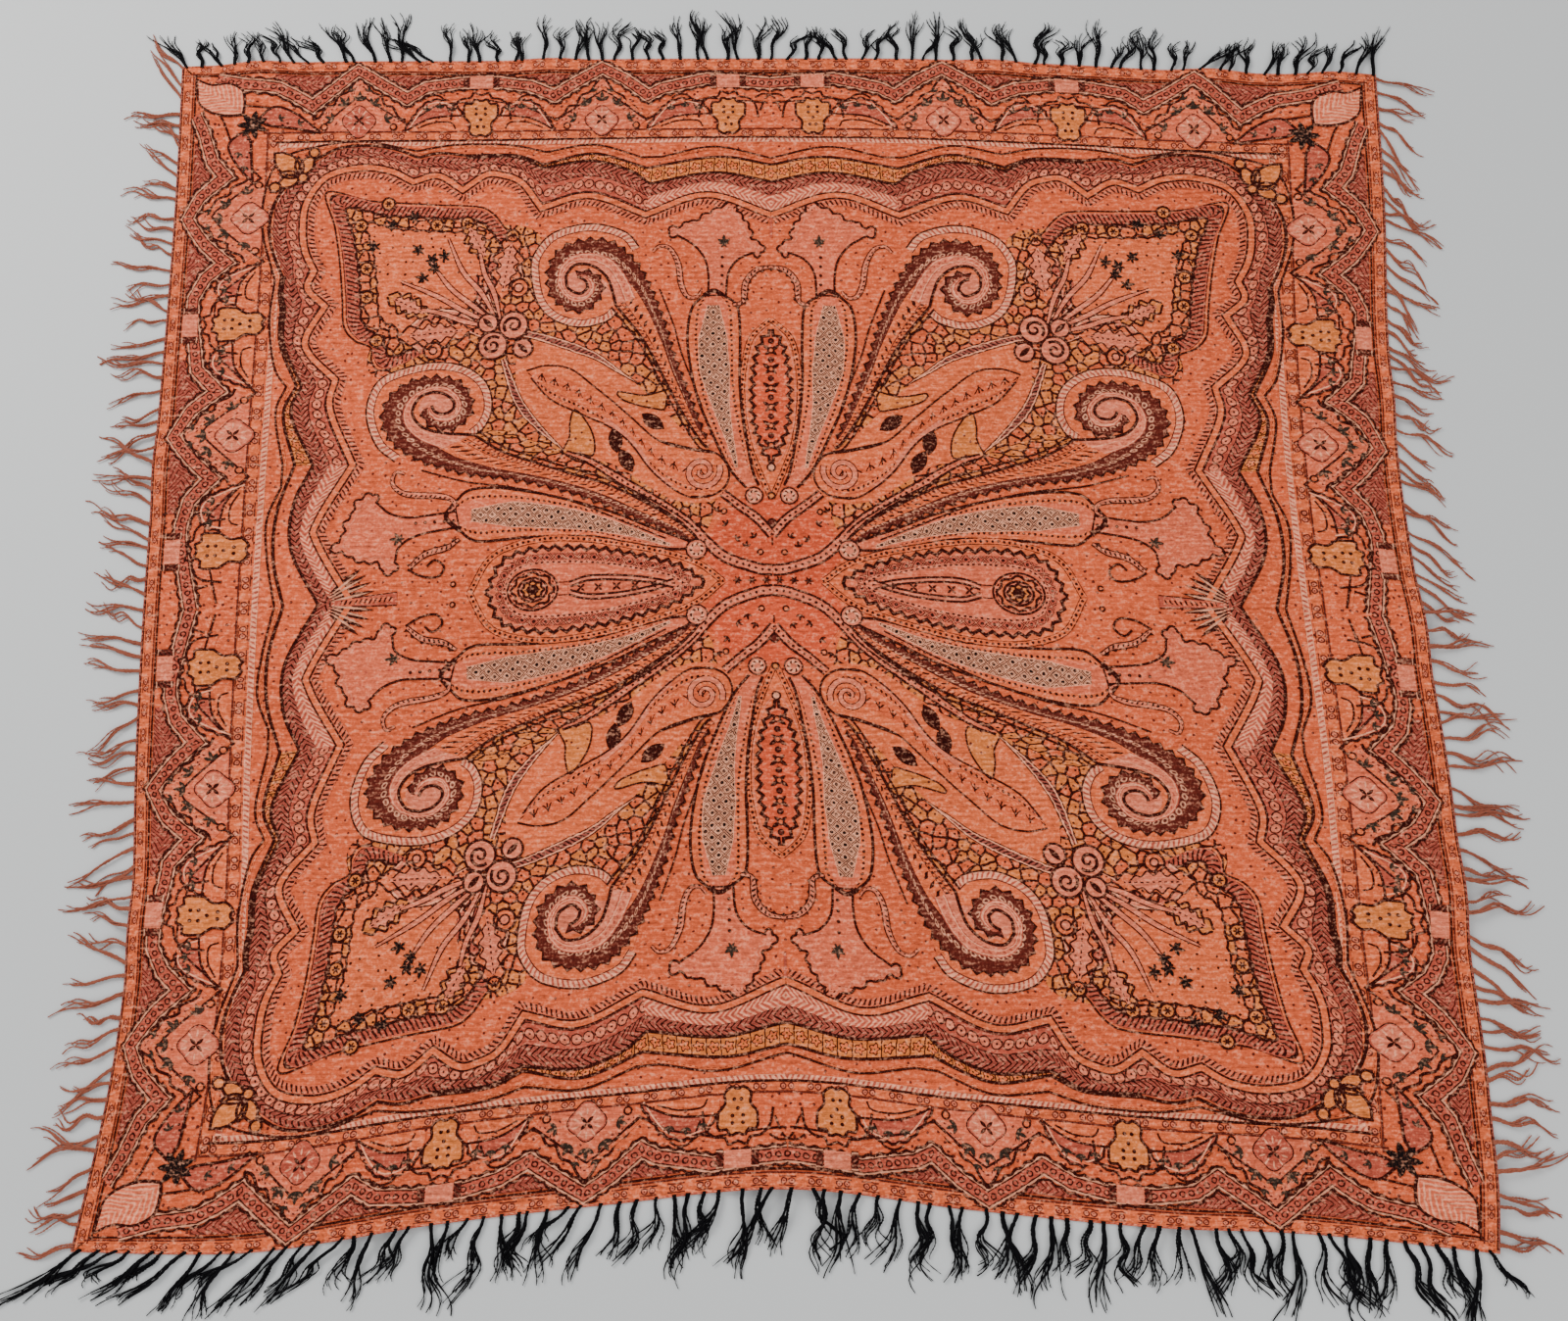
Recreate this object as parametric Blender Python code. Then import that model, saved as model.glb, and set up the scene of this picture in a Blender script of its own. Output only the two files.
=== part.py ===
"""A square woollen paisley shawl, spread out on a floor.

Metres, +Z up. The origin lies under the middle of the woven design, on the floor.
+X points to the shawl's right side and +Y to its far side, as seen in the photograph.
"""

import math
import random

import bmesh
import bpy
from mathutils import Vector

MM = 0.001

# The woven panel, in millimetres
CLOTH_THICKNESS = 1.6
COLUMNS = 36
ROWS = 34

# Each edge of the panel, in millimetres: nine stations at equal steps of the woven design
# Far edge, from the left corner to the right one
FAR_EDGE = [
    # x, y
    (-793, 722),
    (-596, 730),
    (-398, 731),
    (-200, 734),
    (-4, 735),
    (198, 734),
    (402, 725),
    (605, 713),
    (810, 710),
]
# Near edge, from the left corner to the right one. Its middle is drawn in.
NEAR_EDGE = [
    # x, y
    (-779, -781),
    (-580, -782),
    (-380, -753),
    (-180, -731),
    (20, -714),
    (217, -736),
    (412, -754),
    (610, -763),
    (812, -783),
]
# Left edge, from the near corner to the far one
LEFT_EDGE = [
    # x, y
    (-779, -781),
    (-754, -595),
    (-749, -410),
    (-762, -225),
    (-771, -39),
    (-776, 151),
    (-779, 341),
    (-784, 532),
    (-793, 722),
]
# Right edge, from the near corner to the far one
RIGHT_EDGE = [
    # x, y
    (812, -783),
    (820, -603),
    (814, -425),
    (812, -243),
    (799, -52),
    (789, 134),
    (791, 322),
    (804, 515),
    (810, 710),
]

# Soft ripples where the cloth lifts off the floor, in millimetres.
# Each runs from a start to an end point; both its sides and its inner end fade out.
RIPPLES = [
    # start x, start y, end x, end y, half width, height
    (20, -735, 10, -560, 120, 12),
    (470, -780, 430, -600, 80, 9),
    (-430, -780, -400, -600, 80, 8),
    (820, -720, 680, -600, 80, 9),
    (-690, 740, -660, 600, 65, 7),
    (-300, 750, -280, 620, 65, 5),
    (300, 750, 280, 620, 65, 5),
    (590, 730, 560, 560, 70, 9),
    (760, 730, 690, 590, 60, 7),
    (820, 240, 650, 230, 70, 8),
    (820, -60, 640, -40, 75, 10),
    (840, -390, 640, -340, 80, 12),
    (-790, 150, -640, 140, 70, 6),
    (-770, -430, -600, -400, 70, 8),
]

# The fringes, in millimetres
SEAM_GAP = 0.3
STRIP_WIDTH = 3.0
STRIP_THICKNESS = 1.1
FLOOR_CLEARANCE = 0.4
LOCK_WIDTH = 4.2
LOCK_STATIONS = [
    # share of the length, share of the width, thickness
    (0.34, 1.15, 2.4),
    (0.70, 0.85, 2.0),
    (1.00, 0.35, 1.0),
]
CORNER_MARGIN = 14.0
FRINGES = {
    # locks, shortest, longest, leans in degrees at the start, middle and end, seed
    "far_fringe": dict(locks=52, shortest=58, longest=84, leans=(-34, -4, 36), seed=3),
    "near_fringe": dict(locks=52, shortest=74, longest=106, leans=(-40, -6, 16), seed=5),
    "left_fringe": dict(locks=50, shortest=66, longest=88, leans=(-16, 4, 24), seed=7),
    "right_fringe": dict(locks=50, shortest=74, longest=98, leans=(4, 14, 30), seed=9),
}


def smooth_through(points, share):
    """A point on a Catmull-Rom curve through the points, at a share from 0 to 1 of its stations."""
    spans = len(points) - 1
    place = min(max(share, 0.0), 1.0) * spans
    i = min(int(place), spans - 1)
    t = place - i
    before = points[max(i - 1, 0)]
    first = points[i]
    second = points[i + 1]
    after = points[min(i + 2, spans)]
    return Vector(
        0.5
        * (
            2 * b
            + (c - a) * t
            + (2 * a - 5 * b + 4 * c - d) * t * t
            + (3 * b - a - 3 * c + d) * t**3
        )
        for a, b, c, d in zip(before, first, second, after)
    )


def plan_point(across, along):
    """Where a point of the woven design lies on the floor, in mm. Both shares run from 0 to 1."""
    far = smooth_through(FAR_EDGE, across)
    near = smooth_through(NEAR_EDGE, across)
    left = smooth_through(LEFT_EDGE, along)
    right = smooth_through(RIGHT_EDGE, along)
    near_left, near_right = Vector(NEAR_EDGE[0]), Vector(NEAR_EDGE[-1])
    far_left, far_right = Vector(FAR_EDGE[0]), Vector(FAR_EDGE[-1])
    ruled = near * (1 - along) + far * along + left * (1 - across) + right * across
    corners = (near_left * (1 - across) + near_right * across) * (1 - along)
    corners += (far_left * (1 - across) + far_right * across) * along
    return ruled - corners


def lift(point):
    """Height of the cloth's underside above the floor at a point of the plan, in mm."""
    height = 0.0
    for start_x, start_y, end_x, end_y, half_width, peak in RIPPLES:
        start = Vector((start_x, start_y))
        run = Vector((end_x, end_y)) - start
        offset = point - start
        along = offset.dot(run) / run.length_squared
        across = abs(offset.x * run.y - offset.y * run.x) / run.length / half_width
        if across < 1 and along < 1:
            side_fade = math.cos(across * math.pi / 2) ** 2
            end_fade = math.cos(max(along, 0.0) * math.pi / 2) ** 2
            height = max(height, peak * side_fade * end_fade)
    return height


def cloth_material(name, colour, roughness):
    material = bpy.data.materials.new(name)
    material.use_nodes = True
    shader = material.node_tree.nodes["Principled BSDF"]
    shader.inputs["Base Color"].default_value = (*colour, 1.0)
    shader.inputs["Roughness"].default_value = roughness
    shader.inputs["Metallic"].default_value = 0.0
    return material


def add_solid(name, points, faces, material):
    """Makes one closed mesh object from points in mm and faces that point outwards."""
    mesh = bpy.data.meshes.new(name)
    bm = bmesh.new()
    verts = [bm.verts.new(Vector(p) * MM) for p in points]
    for face in faces:
        bm.faces.new([verts[i] for i in face])
    bmesh.ops.recalc_face_normals(bm, faces=bm.faces)
    bm.to_mesh(mesh)
    bm.free()
    mesh.materials.append(material)
    mesh.shade_smooth()
    mesh.set_sharp_from_angle(angle=math.radians(50))
    obj = bpy.data.objects.new(name, mesh)
    bpy.context.scene.collection.objects.link(obj)
    return obj


def woven_panel(material):
    """The cloth: a wall of even thickness whose underside is flat where it rests."""
    under = []
    for row in range(ROWS + 1):
        for column in range(COLUMNS + 1):
            place = plan_point(column / COLUMNS, row / ROWS)
            under.append(Vector((place.x, place.y, lift(place))))
    over = [p + Vector((0, 0, CLOTH_THICKNESS)) for p in under]
    count = len(under)
    wide = COLUMNS + 1
    faces = []
    for row in range(ROWS):
        for column in range(COLUMNS):
            a = row * wide + column
            b, c, d = a + 1, a + wide + 1, a + wide
            faces.append((count + a, count + b, count + c, count + d))
            faces.append((a, d, c, b))
    near = [column for column in range(wide)]
    right = [row * wide + COLUMNS for row in range(1, ROWS + 1)]
    far = [ROWS * wide + column for column in range(COLUMNS - 1, -1, -1)]
    left = [row * wide for row in range(ROWS - 1, 0, -1)]
    rim = near + right + far + left
    for a, b in zip(rim, rim[1:] + rim[:1]):
        faces.append((a, b, count + b, count + a))
    return add_solid("woven_panel", under + over, faces, material)


def edge_line(side):
    """The panel's own edge on one side, station by station, as (point, outward direction) pairs.

    The direction at a station is the mitre of the two spans that meet there.
    """
    if side in ("far", "near"):
        along = 1.0 if side == "far" else 0.0
        points = [plan_point(column / COLUMNS, along) for column in range(COLUMNS + 1)]
        turn = 1 if side == "far" else -1
    else:
        across = 0.0 if side == "left" else 1.0
        points = [plan_point(across, row / ROWS) for row in range(ROWS + 1)]
        turn = 1 if side == "left" else -1
    normals = []
    for a, b in zip(points, points[1:]):
        run = (b - a).normalized()
        normals.append(Vector((-run.y, run.x)) * turn)
    mitres = [normals[0]]
    for before, after in zip(normals, normals[1:]):
        middle = (before + after).normalized()
        mitres.append(middle / middle.dot(before))
    mitres.append(normals[-1])
    return points, mitres


def lock_centre(share, length, lean, bend, rest_height):
    """A lock's centre line: how far out, how far sideways, and how high its underside is."""
    out = length * math.cos(lean) * share
    sideways = length * math.sin(lean) * share + bend * math.sin(math.pi * share)
    drop = rest_height * (1 - share) ** 2
    return out, sideways, FLOOR_CLEARANCE + drop


def fringe(name, locks, shortest, longest, leans, seed, material):
    """Yarn locks rooted in one narrow strip, which lies just outside the panel's edge."""
    side = name.split("_")[0]
    points, mitres = edge_line(side)
    spans = [(b - a).length for a, b in zip(points, points[1:])]
    reach = [sum(spans[:i]) for i in range(len(points))]
    draw = random.Random(seed)

    def strip_point(distance, offset):
        """A point of the plan at a distance along the edge, moved outwards by an offset."""
        i = max(k for k in range(len(spans)) if reach[k] <= distance or k == 0)
        t = (distance - reach[i]) / spans[i]
        a = points[i] + mitres[i] * offset
        b = points[i + 1] + mitres[i + 1] * offset
        height = lift(points[i]) * (1 - t) + lift(points[i + 1]) * t
        return a.lerp(b, t), height

    first = CORNER_MARGIN
    last = reach[-1] - CORNER_MARGIN
    pitch = (last - first) / (locks - 1)
    roots = [first + pitch * i for i in range(locks)]
    cuts = [2.0]
    for root in roots:
        cuts += [root - LOCK_WIDTH / 2, root + LOCK_WIDTH / 2]
    cuts.append(reach[-1] - 2.0)
    marks = [(distance, k % 2 == 1) for k, distance in enumerate(cuts)]
    for distance in reach[1:-1]:
        inside = any(abs(distance - root) < LOCK_WIDTH / 2 + 0.5 for root in roots)
        if not inside:
            marks.append((distance, False))
    marks.sort()

    ring = []
    verts = []
    for distance, _ in marks:
        inner, height = strip_point(distance, SEAM_GAP)
        outer, _ = strip_point(distance, SEAM_GAP + STRIP_WIDTH)
        low = height + FLOOR_CLEARANCE
        high = low + STRIP_THICKNESS
        ring.append([len(verts) + k for k in range(4)])
        verts += [
            (inner.x, inner.y, low),
            (outer.x, outer.y, low),
            (outer.x, outer.y, high),
            (inner.x, inner.y, high),
        ]
    faces = [tuple(ring[0]), tuple(ring[-1][::-1])]
    lock = 0
    for (_, starts_lock), a, b in zip(marks, ring, ring[1:]):
        faces.append((a[0], b[0], b[1], a[1]))
        faces.append((a[2], b[2], b[3], a[3]))
        faces.append((a[3], b[3], b[0], a[0]))
        if not starts_lock:
            faces.append((a[1], b[1], b[2], a[2]))
            continue
        root = roots[lock]
        share = lock / (locks - 1)
        lock += 1
        centre, height = strip_point(root, SEAM_GAP + STRIP_WIDTH)
        ahead, _ = strip_point(root + 1.0, SEAM_GAP + STRIP_WIDTH)
        sideways = (ahead - centre).normalized()
        outward = Vector((-sideways.y, sideways.x))
        if outward.dot(mitres[0]) < 0:
            outward = -outward
        length = shortest + (longest - shortest) * draw.random()
        start, middle, end = leans
        lean = (
            start + (middle - start) * share * 2
            if share < 0.5
            else middle + (end - middle) * (share * 2 - 1)
        )
        lean = math.radians(lean + 5 * math.sin(lock * 1.7) + draw.uniform(-2, 2))
        bend = draw.uniform(-4, 4)
        near = [a[1], b[1], b[2], a[2]]
        for station, width, thickness in LOCK_STATIONS:
            out, slide, low = lock_centre(station, length, lean, bend, height)
            spine = centre + outward * out + sideways * slide
            out_2, slide_2, _ = lock_centre(station - 0.05, length, lean, bend, height)
            run = spine - (centre + outward * out_2 + sideways * slide_2)
            run.normalize()
            half = Vector((-run.y, run.x)) * width * LOCK_WIDTH / 2
            if half.dot(sideways) < 0:
                half = -half
            here = [len(verts) + k for k in range(4)]
            verts += [
                (spine.x - half.x, spine.y - half.y, low),
                (spine.x + half.x, spine.y + half.y, low),
                (spine.x + half.x, spine.y + half.y, low + thickness),
                (spine.x - half.x, spine.y - half.y, low + thickness),
            ]
            for k in range(4):
                after = (k + 1) % 4
                faces.append((near[k], near[after], here[after], here[k]))
            near = here
        faces.append(tuple(near))
    return add_solid(name, verts, faces, material)


def build():
    for obj in list(bpy.data.objects):
        bpy.data.objects.remove(obj)
    panel_wool = cloth_material("woven orange wool", (0.49, 0.115, 0.042), 0.85)
    rust_yarn = cloth_material("rust yarn", (0.22, 0.062, 0.034), 0.85)
    black_yarn = cloth_material("black yarn", (0.012, 0.011, 0.013), 0.8)
    woven_panel(panel_wool)
    for name, sizes in FRINGES.items():
        yarn = black_yarn if name in ("far_fringe", "near_fringe") else rust_yarn
        fringe(name, material=yarn, **sizes)


build()
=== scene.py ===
import math
import random

import bpy
import numpy as np
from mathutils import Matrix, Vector
from mathutils.geometry import tessellate_polygon


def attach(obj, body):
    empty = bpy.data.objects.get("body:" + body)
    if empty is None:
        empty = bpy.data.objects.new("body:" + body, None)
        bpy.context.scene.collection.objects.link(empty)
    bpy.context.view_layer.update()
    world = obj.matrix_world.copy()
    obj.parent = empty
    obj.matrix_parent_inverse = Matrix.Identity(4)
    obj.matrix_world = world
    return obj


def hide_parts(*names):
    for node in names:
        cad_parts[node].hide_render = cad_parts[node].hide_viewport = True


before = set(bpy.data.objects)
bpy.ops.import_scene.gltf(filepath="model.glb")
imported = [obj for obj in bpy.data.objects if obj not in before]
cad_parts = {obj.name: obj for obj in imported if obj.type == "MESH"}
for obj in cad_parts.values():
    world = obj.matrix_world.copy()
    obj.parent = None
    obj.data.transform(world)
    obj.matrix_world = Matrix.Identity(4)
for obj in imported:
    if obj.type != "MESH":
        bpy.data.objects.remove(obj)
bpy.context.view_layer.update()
mm = 0.001


# Camera and studio

# The photograph was taken from standing height over the near edge, looking steeply down
view = {
    "lens": 37.17,
    "sensorWidth": 36.0,
    "place": (0.0157, -0.590, 1.911),
    "aim": (0.0157, -0.1009, 0.0),
}
studio = {
    "floorColour": (0.60, 0.60, 0.585),
    "skyColour": (0.93, 0.96, 1.0),
    "skyStrength": 0.82,
    "windowPlace": (-2.6, 2.2, 2.8),
    "windowSize": 2.4,
    "windowPower": 142,
    "fillPlace": (2.4, -2.6, 3.0),
    "fillSize": 3.0,
    "fillPower": 54,
}


def srgb(red, green, blue):
    def linear(channel):
        share = channel / 255
        return share / 12.92 if share <= 0.04045 else ((share + 0.055) / 1.055) ** 2.4

    return (linear(red), linear(green), linear(blue), 1.0)


def aimAt(obj, target):
    direction = Vector(target) - obj.location
    obj.rotation_euler = direction.to_track_quat("-Z", "Y").to_euler()


def setUpCamera():
    data = bpy.data.cameras.new("camera")
    data.lens = view["lens"]
    data.sensor_width = view["sensorWidth"]
    data.clip_start = 0.05
    camera = bpy.data.objects.new("camera", data)
    bpy.context.scene.collection.objects.link(camera)
    camera.location = view["place"]
    aimAt(camera, view["aim"])
    bpy.context.scene.camera = camera


def addSoftLight(name, place, size, power):
    data = bpy.data.lights.new(name, "AREA")
    data.shape = "DISK"
    data.size = size
    data.energy = power
    light = bpy.data.objects.new(name, data)
    bpy.context.scene.collection.objects.link(light)
    light.location = place
    aimAt(light, (0, 0, 0))


def setUpStudio():
    world = bpy.data.worlds.new("studio")
    bpy.context.scene.world = world
    world.use_nodes = True
    sky = world.node_tree.nodes["Background"]
    sky.inputs["Color"].default_value = (*studio["skyColour"], 1)
    sky.inputs["Strength"].default_value = studio["skyStrength"]
    addSoftLight("window", studio["windowPlace"], studio["windowSize"], studio["windowPower"])
    addSoftLight("fill", studio["fillPlace"], studio["fillSize"], studio["fillPower"])
    bpy.ops.mesh.primitive_plane_add(size=16, location=(0, 0, 0))
    floor = bpy.context.object
    floor.name = "floor"
    material = bpy.data.materials.new("pale floor")
    material.use_nodes = True
    shader = material.node_tree.nodes["Principled BSDF"]
    shader.inputs["Base Color"].default_value = (*studio["floorColour"], 1)
    shader.inputs["Roughness"].default_value = 0.55
    floor.data.materials.append(material)


setUpCamera()
setUpStudio()
print("camera and studio are set")


# How the woven design lies on the floor

# The design is drawn in its own millimetres, from its middle: 790 to each side, 740 to each end.
# The four edges are where that drawing's edges lie on the floor, at nine even stations each.
cloth = {
    "halfWidth": 790,
    "halfLength": 740,
    "thickness": 1.6,
    "columns": 200,
    "rows": 188,
    "middleShift": (-6, -8),
    "farEdge": [
        (-793, 722), (-596, 730), (-398, 731), (-200, 734), (-4, 735),
        (198, 734), (402, 725), (605, 713), (810, 710),
    ],
    "nearEdge": [
        (-779, -781), (-580, -782), (-380, -753), (-180, -731), (20, -714),
        (217, -736), (412, -754), (610, -763), (812, -783),
    ],
    "leftEdge": [
        (-779, -781), (-754, -595), (-749, -410), (-762, -225), (-771, -39),
        (-776, 151), (-779, 341), (-784, 532), (-793, 722),
    ],
    "rightEdge": [
        (812, -783), (820, -603), (814, -425), (812, -243), (799, -52),
        (789, 134), (791, 322), (804, 515), (810, 710),
    ],
    # start x, start y, end x, end y, half width, height of each soft ripple
    "ripples": [
        (20, -735, 10, -560, 120, 12),
        (470, -780, 430, -600, 80, 9),
        (-430, -780, -400, -600, 80, 8),
        (820, -720, 680, -600, 80, 9),
        (-690, 740, -660, 600, 65, 7),
        (-300, 750, -280, 620, 65, 5),
        (300, 750, 280, 620, 65, 5),
        (590, 730, 560, 560, 70, 9),
        (760, 730, 690, 590, 60, 7),
        (820, 240, 650, 230, 70, 8),
        (820, -60, 640, -40, 75, 10),
        (840, -390, 640, -340, 80, 12),
        (-790, 150, -640, 140, 70, 6),
        (-770, -430, -600, -400, 70, 8),
    ],
}


def throughStations(stations, share):
    points = np.array(stations, float)
    spans = len(points) - 1
    place = np.clip(share, 0, 1) * spans
    index = np.minimum(place.astype(int), spans - 1)
    t = (place - index)[:, None]
    a = points[np.maximum(index - 1, 0)]
    b = points[index]
    c = points[index + 1]
    d = points[np.minimum(index + 2, spans)]
    bend = (2 * a - 5 * b + 4 * c - d) * t**2 + (3 * b - a - 3 * c + d) * t**3
    return 0.5 * (2 * b + (c - a) * t + bend)


def onFloor(design):
    # the side edges' own shape fades quickly towards the middle, as the cloth was pulled there
    across = (design[:, 0] / cloth["halfWidth"] + 1) / 2
    along = (design[:, 1] / cloth["halfLength"] + 1) / 2
    far = throughStations(cloth["farEdge"], across)
    near = throughStations(cloth["nearEdge"], across)
    left = throughStations(cloth["leftEdge"], along)
    right = throughStations(cloth["rightEdge"], along)
    a = across[:, None]
    b = along[:, None]
    farLeft, farRight = np.array(cloth["farEdge"])[[0, -1]]
    nearLeft, nearRight = np.array(cloth["nearEdge"])[[0, -1]]
    place = near * (1 - b) + far * b
    place += (left - nearLeft * (1 - b) - farLeft * b) * (1 - a) ** 4
    place += (right - nearRight * (1 - b) - farRight * b) * a**4
    middle = np.clip(16 * a * (1 - a) * b * (1 - b), 0, 1) ** 3
    return place + np.array(cloth["middleShift"]) * middle


def liftAt(floor):
    height = np.zeros(len(floor))
    for startX, startY, endX, endY, halfWidth, peak in cloth["ripples"]:
        run = np.array((endX - startX, endY - startY), float)
        offset = floor - np.array((startX, startY), float)
        along = offset @ run / (run @ run)
        across = np.abs(offset[:, 0] * run[1] - offset[:, 1] * run[0]) / np.hypot(*run) / halfWidth
        sideFade = np.cos(np.clip(across, 0, 1) * math.pi / 2) ** 2
        endFade = np.cos(np.clip(along, 0, 1) * math.pi / 2) ** 2
        height = np.maximum(height, peak * sideFade * endFade)
    return height


def onCloth(design, raised=0.0):
    floor = onFloor(np.asarray(design, float))
    height = liftAt(floor) + cloth["thickness"] + raised
    return np.column_stack([floor, height]) * mm


# Dyed wool, and the figures that the pattern wefts draw

yarn = {
    "orange": srgb(212, 90, 52),
    "warm": srgb(218, 98, 56),
    "red": srgb(206, 78, 46),
    "pink": srgb(216, 110, 80),
    "salmon": srgb(214, 98, 66),
    "rose": srgb(178, 76, 56),
    "mauve": srgb(146, 66, 54),
    "pale": srgb(236, 150, 114),
    "ochre": srgb(212, 112, 54),
    "brown": srgb(88, 28, 20),
    "dark": srgb(46, 4, 2),
    "black": srgb(16, 8, 8),
    "green": srgb(46, 36, 28),
    "ash": srgb(206, 136, 104),
}
wool = {
    "ribPeriod": 2.6,
    "ribShade": 0.12,
    "fuzz": 0.16,
    "toneSwing": 0.13,
    "wobble": 0.9,
    "bump": 0.35,
    "roughness": 0.88,
}


def maths(tree, operation, *values):
    node = tree.nodes.new("ShaderNodeMath")
    node.operation = operation
    for socket, value in zip(node.inputs, values):
        if isinstance(value, (int, float)):
            socket.default_value = value
        else:
            tree.links.new(value, socket)
    return node.outputs[0]


def mixColour(tree, share, first, second, blend="MIX"):
    node = tree.nodes.new("ShaderNodeMix")
    node.data_type = "RGBA"
    node.blend_type = blend
    for socket, value in zip((node.inputs[0], node.inputs[6], node.inputs[7]), (share, first, second)):
        if isinstance(value, (int, float, tuple)):
            socket.default_value = value
        else:
            tree.links.new(value, socket)
    return node.outputs[2]


def noise(tree, place, scale, detail=2.0, colour=False):
    node = tree.nodes.new("ShaderNodeTexNoise")
    node.inputs["Scale"].default_value = scale
    node.inputs["Detail"].default_value = detail
    tree.links.new(place, node.inputs["Vector"])
    return node.outputs["Color" if colour else "Fac"]


def stretched(tree, place, x, y, z):
    node = tree.nodes.new("ShaderNodeMapping")
    node.inputs["Scale"].default_value = (x, y, z)
    tree.links.new(place, node.inputs["Vector"])
    return node.outputs[0]


def makeWoolGroup():
    # takes a dyed colour and gives back the woven, slightly felted surface of it
    tree = bpy.data.node_groups.new("woven wool", "ShaderNodeTree")
    face = tree.interface
    face.new_socket("Colour", in_out="INPUT", socket_type="NodeSocketColor")
    face.new_socket("Relief", in_out="INPUT", socket_type="NodeSocketFloat")
    face.new_socket("Colour", in_out="OUTPUT", socket_type="NodeSocketColor")
    face.new_socket("Normal", in_out="OUTPUT", socket_type="NodeSocketVector")
    entry = tree.nodes.new("NodeGroupInput")
    leave = tree.nodes.new("NodeGroupOutput")
    place = tree.nodes.new("ShaderNodeTexCoord").outputs["Object"]
    split = tree.nodes.new("ShaderNodeSeparateXYZ")
    tree.links.new(place, split.inputs[0])

    drift = noise(tree, place, 60, 1)
    wave = maths(tree, "MULTIPLY_ADD", drift, 9.0, 0.0)
    ribPhase = maths(tree, "MULTIPLY_ADD", split.outputs["Y"], 2000 * math.pi / wool["ribPeriod"], wave)
    rib = maths(tree, "SINE", ribPhase)
    fleck = noise(tree, stretched(tree, place, 420, 1100, 1), 1.0, 3)
    fibre = noise(tree, stretched(tree, place, 160, 900, 1), 1.0, 2)
    tone = noise(tree, stretched(tree, place, 4, 7, 1), 1.0, 2)
    pick = noise(tree, stretched(tree, place, 1.5, 260, 1), 1.0, 1)
    slub = noise(tree, stretched(tree, place, 85, 240, 1), 1.0, 2)
    # painted shade: the fine rib and this coarser ridge darken the colour in the grooves between weft rows
    ridgeShade = maths(tree, "SINE", maths(tree, "MULTIPLY_ADD", split.outputs["Y"], 2000 * math.pi / 7.2, wave))
    ridgeShade = maths(tree, "MULTIPLY", ridgeShade, noise(tree, stretched(tree, place, 14, 40, 1), 1.0, 1))

    shade = maths(tree, "MULTIPLY_ADD", rib, wool["ribShade"] / 2, 1.0)
    shade = maths(tree, "MULTIPLY_ADD", maths(tree, "SUBTRACT", fleck, 0.5), wool["fuzz"] * 4.2, shade)
    shade = maths(tree, "MULTIPLY_ADD", maths(tree, "SUBTRACT", fibre, 0.5), wool["fuzz"] * 2.2, shade)
    shade = maths(tree, "MULTIPLY_ADD", maths(tree, "SUBTRACT", pick, 0.5), 0.30, shade)
    shade = maths(tree, "MULTIPLY_ADD", maths(tree, "SUBTRACT", tone, 0.5), wool["toneSwing"] * 3, shade)
    shade = maths(tree, "MULTIPLY_ADD", maths(tree, "SUBTRACT", slub, 0.5), 1.25, shade)
    nap = noise(tree, place, 330, 2)
    shade = maths(tree, "MULTIPLY_ADD", maths(tree, "SUBTRACT", nap, 0.5), 0.85, shade)
    shade = maths(tree, "MULTIPLY_ADD", ridgeShade, 0.22, shade)
    colour = tree.nodes.new("ShaderNodeVectorMath")
    colour.operation = "SCALE"
    tree.links.new(entry.outputs["Colour"], colour.inputs[0])
    tree.links.new(shade, colour.inputs["Scale"])
    # painted highlight: pale specks on the fibre tips, where the slub and nap noises peak; then loose pale fibres lie
    # over everything, so the darkest yarns never look black
    tipHighlight = maths(tree, "MULTIPLY_ADD", slub, 0.9, maths(tree, "MULTIPLY", nap, 0.9))
    tipHighlight = maths(tree, "MULTIPLY", maths(tree, "MAXIMUM", maths(tree, "SUBTRACT", tipHighlight, 0.93), 0.0), 1.6)
    colour = mixColour(tree, tipHighlight, colour.outputs[0], srgb(255, 176, 138))
    hair = noise(tree, stretched(tree, place, 500, 240, 1), 1.0, 4)
    hairShare = maths(tree, "MAXIMUM", maths(tree, "MULTIPLY", maths(tree, "SUBTRACT", hair, 0.5), 0.5), 0.0)
    colour = mixColour(tree, hairShare, colour, yarn["pink"])
    tree.links.new(colour, leave.inputs["Colour"])

    height = maths(tree, "MULTIPLY_ADD", rib, 0.25, maths(tree, "MULTIPLY", fleck, 1.0))
    height = maths(tree, "ADD", height, entry.outputs["Relief"])
    bump = tree.nodes.new("ShaderNodeBump")
    bump.inputs["Strength"].default_value = wool["bump"]
    bump.inputs["Distance"].default_value = 0.9 * mm
    tree.links.new(height, bump.inputs["Height"])
    tree.links.new(bump.outputs["Normal"], leave.inputs["Normal"])
    return tree


woolGroup = makeWoolGroup()


def finishWool(material, colour, relief=0.0):
    tree = material.node_tree
    shader = tree.nodes["Principled BSDF"]
    group = tree.nodes.new("ShaderNodeGroup")
    group.node_tree = woolGroup
    if isinstance(colour, tuple):
        group.inputs["Colour"].default_value = colour
    else:
        tree.links.new(colour, group.inputs["Colour"])
    if isinstance(relief, (int, float)):
        group.inputs["Relief"].default_value = relief
    else:
        tree.links.new(relief, group.inputs["Relief"])
    tree.links.new(group.outputs["Colour"], shader.inputs["Base Color"])
    tree.links.new(group.outputs["Normal"], shader.inputs["Normal"])
    shader.inputs["Roughness"].default_value = wool["roughness"]
    shader.inputs["Specular IOR Level"].default_value = 0.08


ornaments = {}


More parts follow.
